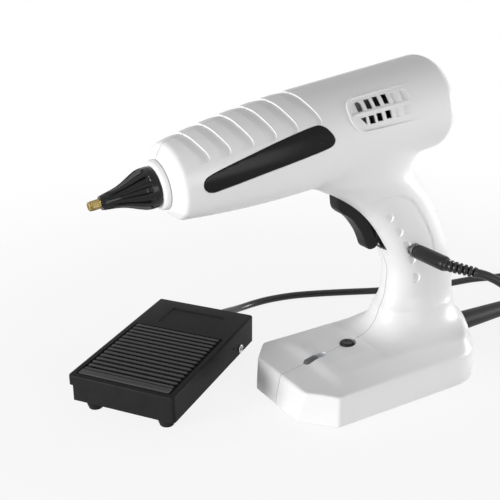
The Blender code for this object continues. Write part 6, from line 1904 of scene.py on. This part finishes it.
@dataclass
class Controls:
    """Power button and slide switch on the base's middle strip."""

    button_place: float = -0.0163
    button_radius: float = 0.0042
    slider_place: float = -0.0400
    slider_tilt: float = math.radians(10.68)
    slot_width: float = 0.0044
    plate_length: float = 0.0154
    slot_front: float = -0.0080
    knob_length: float = 0.0092
    nail_half: Pair = (0.00025, 0.003)
    nail_pitch: float = 0.0014

    def slider_frame(self) -> Matrix:
        """Frame of the slide switch on the sloping strip, with X along it and Z out of it."""
        start = (self.slider_place, 0.0, strip_height(self.slider_place))
        return Matrix.Translation(start) @ Matrix.Rotation(-self.slider_tilt, 4, "Y")

    def build(self, shelf: Shelf) -> None:
        """Make the button, the knob and the plate under it."""
        low, high = box_of("power_button")
        top = high.z - low.z
        matrix = turned_frame((self.button_place, 0.0, low.z), -90, "Y")
        profile = rounded([(0.0, 0.0), (0.0, 0.0020), (0.0040, 0.0020), (0.0040, 0.0050), (0.0049, 0.0050),
                           (0.0049, self.button_radius), (top - 0.0006, self.button_radius),
                           (top - 0.0001, 0.0034), (top - 0.0003, 0.0026), (top - 0.0006, 0.0)], 0.0005, 4)
        item = turned("power_button_cap", profile, matrix, 72)
        dressed(smoothed(item), shelf["grained"], "power_button", Slot.BLACK, "power_button")
        slope = self.slider_frame()
        plate = slab("slider_plate_fine", stadium(self.plate_length, self.slot_width),
                     edge_levels(-0.0028, -0.0016, 0.0002, 2), framed(slope))
        dressed(smoothed(plate), shelf["pale"], "casing", Slot.PALE, "slider_plate")
        start = self.knob_length / 2 + FIT_GAP + self.slot_front
        knob = slab("mode_slider_knob", stadium(self.knob_length, self.slot_width),
                    edge_levels(-0.0012, 0.0003, 0.0004, 4), framed(slope, start))
        half_a, half_b = self.nail_half
        nail = rectangle((-half_a, -half_b), (half_a, half_b))
        grooves = [slab("nail_groove", nail, [(0.0, 0.00005), (0.0, 0.002)], framed(slope, start + shift))
                   for shift in (-self.nail_pitch, 0.0, self.nail_pitch)]
        worked(knob, Work.CUT, gathered("nail_grooves", grooves))
        dressed(smoothed(knob), shelf["grey"], "mode_slider", Slot.DARK, "mode_slider")


@dataclass
class JackSide:
    """Socket in the handle, plug of the pedal's cord and its ribbed relief."""

    place: Pair = (0.0188, 0.0853)
    grip: float = 0.0044
    longer: float = 0.0040
    flats: Pair = (0.0204, 0.0370)
    flat_half: float = 0.0037
    flat_run: float = 0.002
    relief_radii: Pair = (0.0037, 0.0030)
    ribs: int = 6
    rib_span: Pair = (0.22, 0.96)
    rib_depth: float = 0.0012
    rib_width: float = 0.17
    end_inset: float = 0.0001

    def build(self, shelf: Shelf) -> None:
        """Make the three pieces."""
        x, z = self.place
        matrix = turned_frame((x, 0.0, z), -90, "Z")
        low, high = box_of("jack_socket")
        nose, back = -low.y, -high.y
        socket = [(back, 0.0022), (back, self.grip), (nose - 0.0046, self.grip), (nose - 0.0046, 0.0032),
                  (nose - 0.0018, 0.0032), (nose - 0.0018, 0.0043), (nose - 0.0003, 0.0043), (nose, 0.0039),
                  (nose, 0.0022)]
        item = turned("jack_socket_fine", rounded(socket, 0.0002, 2, closed=True), matrix, 72, looped=True)
        dressed(smoothed(item), shelf["collar"], "casing", Slot.STEEL, "jack_socket")
        low, high = box_of("jack_plug")
        end, tip, seat = -low.y + self.longer, -high.y, nose + FIT_GAP
        profile = [(tip, 0.0), (tip + 0.0008, 0.0012), (tip + 0.0016, 0.0018), (seat, 0.0018), (seat, 0.0037),
                   (seat + 0.0006, 0.0042), (seat + 0.0020, 0.0043), (seat + 0.0022, 0.0040),
                   (seat + 0.0028, 0.0040), (seat + 0.0030, self.grip), (end - 0.0020, self.grip),
                   (end - 0.0008, 0.0042), (end, 0.0038), (end, 0.0)]
        item = turned("jack_plug_grip", rounded(profile, 0.00025, 3), matrix, 96, shape=self._flats)
        dressed(smoothed(item), shelf["grip"], "casing", Slot.BLACK, "jack_plug")
        path = spline(RELIEF_ROUTE, 0.00022)
        radii = [self._rib(index / (len(path) - 1)) for index in range(len(path))]
        item = swept("jack_plug_ribs", path, radii, 48)
        dressed(smoothed(item, 50.0), shelf["cord"], "casing", Slot.RUBBER, "jack_plug_relief")

    def _flats(self, place: float, angle: float) -> float:
        """Two shallow flats for the fingers, on the top and underside of the grip."""
        start, end = self.flats
        if not start < place < end:
            return 0.0
        across = abs(math.sin(angle)) * self.grip - self.flat_half
        ends = min((place - start) / self.flat_run, (end - place) / self.flat_run, 1.0)
        return max(across, 0.0) * ends

    def _rib(self, share: float) -> float:
        """Radius of the relief along its length: rings with narrow grooves between them."""
        first, last = self.relief_radii
        radius = first + (last - first) * share
        start, end = self.rib_span
        if not start < share < end:
            return radius - self.end_inset
        phase = (share - start) / (end - start) * self.ribs % 1.0
        groove = math.exp(-((phase - 0.5) / self.rib_width) ** 2)
        return radius - self.rib_depth * groove


@dataclass
class MainsSide:
    """Boot of the mains lead in the rear hump, and the plug on the lead's end."""

    height: float = 0.0180
    boot_start: float = 0.0708
    boot_radius: float = 0.0064
    boot_fall: float = 0.0018
    plug_place: Point = (0.1667, -0.1125, 0.0070)
    plug_length: float = 0.0340
    half_width: float = 0.0125
    half_height: float = 0.0070
    pin_radius: float = 0.0020
    pin_length: float = 0.0190
    pin_spacing: float = 0.0190

    def build(self, shelf: Shelf) -> None:
        """Make the boot and the plug."""
        low, high = box_of("cable_boot")
        matrix = Matrix.Translation((0.0, 0.0, self.height))
        start, end = self.boot_start, high.x
        profile = [(low.x, 0.0), (low.x, 0.0066), (low.x + 0.0020, 0.0066), (low.x + 0.0020, 0.0050),
                   (start, 0.0050), (start, 0.0062), (start + 0.0006, self.boot_radius)]
        for place in np.linspace(start + 0.004, end - 0.0010, 14):
            fallen = self.boot_fall * ((place - start) / (end - start)) ** 1.1
            profile.append((float(place), self.boot_radius - fallen))
        profile += [(end - 0.0003, 0.0043), (end, 0.0040), (end, 0.0)]
        item = turned("cable_boot_fine", rounded(profile, 0.0003, 3), matrix, 96)
        dressed(smoothed(item), shelf["rubber"], "casing", Slot.RUBBER, "cable_boot")
        self._plug(shelf)

    def _plug(self, shelf: Shelf) -> None:
        """A flat two-pin plug: its body narrows to the cord and has grip hollows on its sides."""
        face, y, z = self.plug_place
        rings = []
        for share in np.linspace(0.0, 1.0, 33):
            place = face - share * self.plug_length
            waist = 1.0 - 0.10 * math.exp(-((share - 0.38) / 0.10) ** 2)
            flare = min(1.0, 0.52 + 0.48 * math.sin(min(share / 0.45, 1.0) * QUARTER))
            end = math.sqrt(max(0.0, 1 - max(0.0, (share - 0.955) / 0.045) ** 2 * 0.35))
            width = self.half_width * flare * waist * end
            thick = min(1.0, 0.66 + 0.34 * math.sin(min(share / 0.35, 1.0) * QUARTER))
            rise = self.half_height * thick * end
            ring = []
            for step in range(64):
                angle = math.tau * step / 64
                cosine, sine = math.cos(angle), math.sin(angle)
                ring.append((place, y - width * math.copysign(abs(cosine) ** 0.55, cosine),
                             z + rise * math.copysign(abs(sine) ** 0.62, sine)))
            rings.append(ring)
        body = trued(lofted("mains_plug_body", rings))
        dressed(smoothed(body, 40.0), shelf["rubber"], "casing", Slot.BLACK, "mains_plug")
        radius, length = self.pin_radius, self.pin_length
        profile = rounded([(0.0, 0.0), (0.0, radius), (length - 0.0004, radius),
                           (length + 0.0002, radius * 0.5), (length + 0.0003, 0.0)], 0.0012, 5)
        root = face - self.plug_length + 0.0004
        starts = [(root, y + side.value * self.pin_spacing / 2, z) for side in Side]
        pins = [turned("pin", profile, turned_frame(start, 180, "Z"), 40) for start in starts]
        item = gathered("mains_plug_pins", pins)
        dressed(smoothed(item), shelf["steel"], "casing", Slot.STEEL)


# Pedal


@dataclass
class Pedal:
    """Foot pedal: ribbed cover on its hinge pin, tray, feet and cord gland."""

    place: Pair = (-0.1083, 0.0596)
    turn: float = math.radians(35.2)
    length: float = 0.1100
    width: float = 0.0680
    top: float = 0.0250
    rise: float = 0.0020
    skirt: float = 0.0090
    wall: float = 0.0020
    edge: float = 0.0012
    corner: float = 0.0022
    hollow_shares: Pair = (0.963, 0.941)
    rib_count: int = 15
    first_rib: float = -0.0450
    rib_pitch: float = 0.0042
    rib_radius: float = 0.0015
    rib_half: float = 0.0292
    wide_rib: float = 0.0050
    wide_levels: Pair = (-0.0018, 0.0007)
    field_half: float = 0.0300
    field_depth: float = 0.0008
    plate: Pair = (0.0234, 0.0444)
    plate_half: float = 0.0185
    plate_depth: float = 0.0006
    pin: Pair = (0.0343, 0.0125)
    small_hole: Pair = (0.0242, 0.0171)

    # Outlines of the turned pieces: place along the axis and radius
    FOOT = ((0.0, 0.0), (0.0, 0.0028), (0.0004, 0.0030), (0.0004, 0.0040), (0.0060, 0.0058), (0.0077, 0.0060),
            (0.0077, 0.0))
    GLAND = ((-0.0015, 0.0), (-0.0015, 0.0032), (0.0004, 0.0032), (0.0004, 0.0042), (0.0020, 0.0042),
             (0.0030, 0.0037), (0.0110, 0.0034), (0.0118, 0.0030), (0.0118, 0.0))
    PIN = ((0.0, 0.0), (0.0, 0.0014), (0.0004, 0.0024), (0.0010, 0.0028), (0.0010, 0.0015), (0.0690, 0.0015),
           (0.0690, 0.0))

    def frame(self) -> Matrix:
        """Frame of the pedal on the floor, with X to its hinge end."""
        return Matrix.Translation((*self.place, 0.0)) @ Matrix.Rotation(self.turn, 4, "Z")

    def top_frame(self) -> Matrix:
        """Frame of the pedal's sloping top face."""
        slope = Matrix.Rotation(-math.atan2(self.rise, self.length), 4, "Y")
        return self.frame() @ Matrix.Translation((0.0, 0.0, self.top + self.rise / 2)) @ slope

    def crest(self) -> tuple[Point, float]:
        """Direction out of the top face, and how far along it the face lies."""
        level = self.top_frame()
        out = (level.to_3x3() @ Vector((0.0, 0.0, 1.0))).normalized()
        return tuple(out), out.dot(level.translation)

    def build(self, shelf: Shelf) -> None:
        """Make the pedal's pieces."""
        self._cover(shelf)
        self._small_parts(shelf)

    def _cover(self, shelf: Shelf) -> None:
        """The cover with its ribs, bare plate area, notch and openings."""
        upright = self.frame()
        level = self.top_frame()
        half_a, half_b = self.length / 2, self.width / 2
        outline = rounded(rectangle((-half_a, -half_b), (half_a, half_b)), self.corner, 6, closed=True)

        def sloped(a: float, b: float, height: float) -> Vector:
            """A point of the box whose top rises to the rear."""
            lift = self.rise * (a / self.length + 0.5) * (height - self.skirt) / (self.top - self.skirt)
            return upright @ Vector((a, b, height + lift))

        levels = [(0.0, self.skirt)] + edge_levels(self.skirt, self.top, self.edge, 5)[6:]
        cover = slab("pedal_cover_fine", outline, levels, sloped)
        share_a, share_b = self.hollow_shares
        hollow = slab("hollow", [(a * share_a, b * share_b) for a, b in outline],
                      [(0.0, self.skirt - 0.002), (0.0, self.top - self.wall)], sloped)
        worked(cover, Work.CUT, hollow)
        first, half = self.first_rib, self.field_half
        rear_rib = (self.rib_count - 1) * self.rib_pitch + first
        field = rectangle((first - self.rib_pitch - self.wide_rib / 2, -half),
                          (rear_rib + self.rib_pitch * 0.6, half))
        (start, end), half = self.plate, self.plate_half
        plate = rectangle((start, -half), (end, half))
        worked(cover, Work.CUT, self._pad("field", field, self.field_depth, 0.0008, level),
               self._pad("plate", plate, self.plate_depth, 0.0012, level))
        for index in range(self.rib_count):
            worked(cover, Work.JOIN, self._bar(first + index * self.rib_pitch, level))
        worked(cover, Work.JOIN, self._wide_bar(first - self.rib_pitch, level))
        self._cover_openings(cover, upright)
        dressed(smoothed(cover, 30.0), shelf["pedal"], "pedal_cover", Slot.BLACK, "pedal_cover")

    @staticmethod
    def _pad(name: str, line: Sequence[Pair], depth: float, corner: float, level: Matrix) -> bpy.types.Object:
        """Cutter of a sunk rectangle on the top face."""
        outline = rounded(line, corner, 5, closed=True)
        return slab(name, outline, [(0.0, -depth), (-0.0004, 0.0), (-0.0006, 0.003)], framed(level))

    def _bar(self, place: float, level: Matrix) -> bpy.types.Object:
        """One round rib with domed ends."""
        radius, length = self.rib_radius, 2 * self.rib_half
        start = Matrix.Translation((place, -self.rib_half, -radius / 2))
        dome = [(radius * (1 - math.cos(angle)), radius * math.sin(angle))
                for angle in (QUARTER * step / 5 for step in range(6))]
        profile = dome + [(length - along, reach) for along, reach in dome[::-1]]
        return turned("rib", profile, level @ start @ Matrix.Rotation(QUARTER, 4, "Z"), 24)

    def _wide_bar(self, place: float, level: Matrix) -> bpy.types.Object:
        """The wide rib at the pedal's front."""
        half = self.wide_rib / 2
        line = rectangle((place - half, -self.rib_half), (place + half, self.rib_half))
        low, high = self.wide_levels
        levels = [(0.0, low)] + edge_levels(low, high, 0.0007, 4)[5:]
        return slab("wide_rib", rounded(line, 0.0008, 4, closed=True), levels, framed(level))

    def _cover_openings(self, cover: bpy.types.Object, upright: Matrix) -> None:
        """Side notch, cord opening, pin holes and the small hole over the pin."""
        notch = slab("notch", rectangle((-0.056, 0.0310), (0.056, 0.0360)), [(0.0, 0.0050), (0.0, 0.0185)],
                     framed(upright))
        gland = slab("gland_opening", rectangle((0.0510, -0.0054), (0.0590, 0.0054)),
                     [(0.0, 0.0050), (0.0, 0.0184)], framed(upright))
        worked(cover, Work.CUT, notch, gland)
        for name, radius, (x, z), end, steps in (("pin_hole", 0.0019, self.pin, 0.04, 48),
                                                 ("small_hole", 0.0009, self.small_hole, -0.03, 24)):
            hole = rod(name, radius, upright @ Vector((x, -0.04, z)), upright @ Vector((x, end, z)), steps)
            worked(cover, Work.CUT, hole)

    def _small_parts(self, shelf: Shelf) -> None:
        """Feet, hinge pin and gland."""
        for name in ("front_left", "front_right", "rear_left", "rear_right"):
            node = "pedal_foot_" + name
            low, high = box_of(node)
            centre = (low + high) / 2
            matrix = turned_frame((centre.x, centre.y, 0.0), -90, "Y")
            item = turned(node + "_fine", rounded(self.FOOT, 0.0006, 4), matrix, 64)
            dressed(smoothed(item), shelf["foot"], "casing", Slot.RUBBER, node)
        self._hinge_pin(shelf)
        matrix = self.frame() @ Matrix.Translation((self.length / 2 - 0.0030, 0.0, 0.0130))
        item = turned("pedal_cord_gland_fine", rounded(self.GLAND, 0.0004, 3), matrix, 64)
        dressed(smoothed(item), shelf["rubber"], "casing", Slot.RUBBER, "pedal_cord_gland")

    def _hinge_pin(self, shelf: Shelf) -> None:
        """The pin with its bright domed head, which has a cross recess."""
        x, z = self.pin
        head = -self.width / 2 - FIT_GAP - 0.0010
        start = Matrix.Translation((x, head, z))
        matrix = self.frame() @ start @ Matrix.Rotation(math.radians(90), 4, "Z")
        item = turned("pedal_hinge_pin_fine", rounded(self.PIN, 0.0003, 3), matrix, 56)
        for half_a, half_b in ((0.0014, 0.0003), (0.0003, 0.0014)):
            tool = slab("recess", rectangle((-half_a, -half_b), (half_a, half_b)),
                        [(0.0, -0.001), (0.0, 0.0006)], lambda a, b, height: matrix @ Vector((height, a, b)))
            worked(item, Work.CUT, tool)
        dressed(smoothed(item), shelf["screw"], "casing", Slot.STEEL, "pedal_hinge_pin")


# Pieces kept from the frame

KEPT_LOOKS = {
    "base_plate": "grained", "base_pad": "foot", "base_screw_front": "steel", "base_screw_rear": "steel",
    "chamber_mount": "grained", "circuit_board": "board", "drive_roller": "steel", "feed_frame": "steel",
    "feed_motor": "steel", "gearbox": "grey", "guide_tube": "cast", "heater_band": "steel",
    "idler_arm": "steel", "idler_pin": "screw", "idler_roller": "steel", "idler_spring": "steel",
    "inlet_collar": "grained", "insulation_sleeve": "lagging", "melt_chamber": "cast",
    "pedal_base": "pedal", "pedal_spring": "steel", "pedal_switch": "grey", "pedal_switch_plunger": "pale",
    "power_switch_body": "grey",
    "shell_screw_front": "steel", "shell_screw_handle": "steel", "shell_screw_rear": "steel",
    "silicone_sleeve": "silicone", "slider_switch_body": "grey", "trigger_pin": "screw",
    "trigger_spring": "steel", "trigger_switch": "grey", "trigger_switch_plunger": "pale",
}


def dress_kept_nodes(shelf: Shelf) -> None:
    """Give the pieces that stay as they are in the frame their finishes."""
    for name, look in KEPT_LOOKS.items():
        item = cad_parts[name]
        for slot in item.material_slots:
            slot.material = shelf[look]
        LOG.info("%s keeps its solid, finished as %s", name, look)


def main() -> None:
    """Build the machine and its studio in order."""
    logging.basicConfig(level=logging.INFO, format="%(name)s: %(message)s")
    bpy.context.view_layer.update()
    Camera().place()
    shelf = Shelf()
    JackSide().build(shelf)
    MainsSide().build(shelf)
    for cord in cords():
        cord.build(shelf)
    Studio().build()
    dress_kept_nodes(shelf)
    Nose().build(shelf)
    Label().build(shelf)
    Trigger().build(shelf)
    Controls().build(shelf)
    Pedal().build(shelf)
    Casing().build(shelf)


if __name__ == "__main__":
    main()
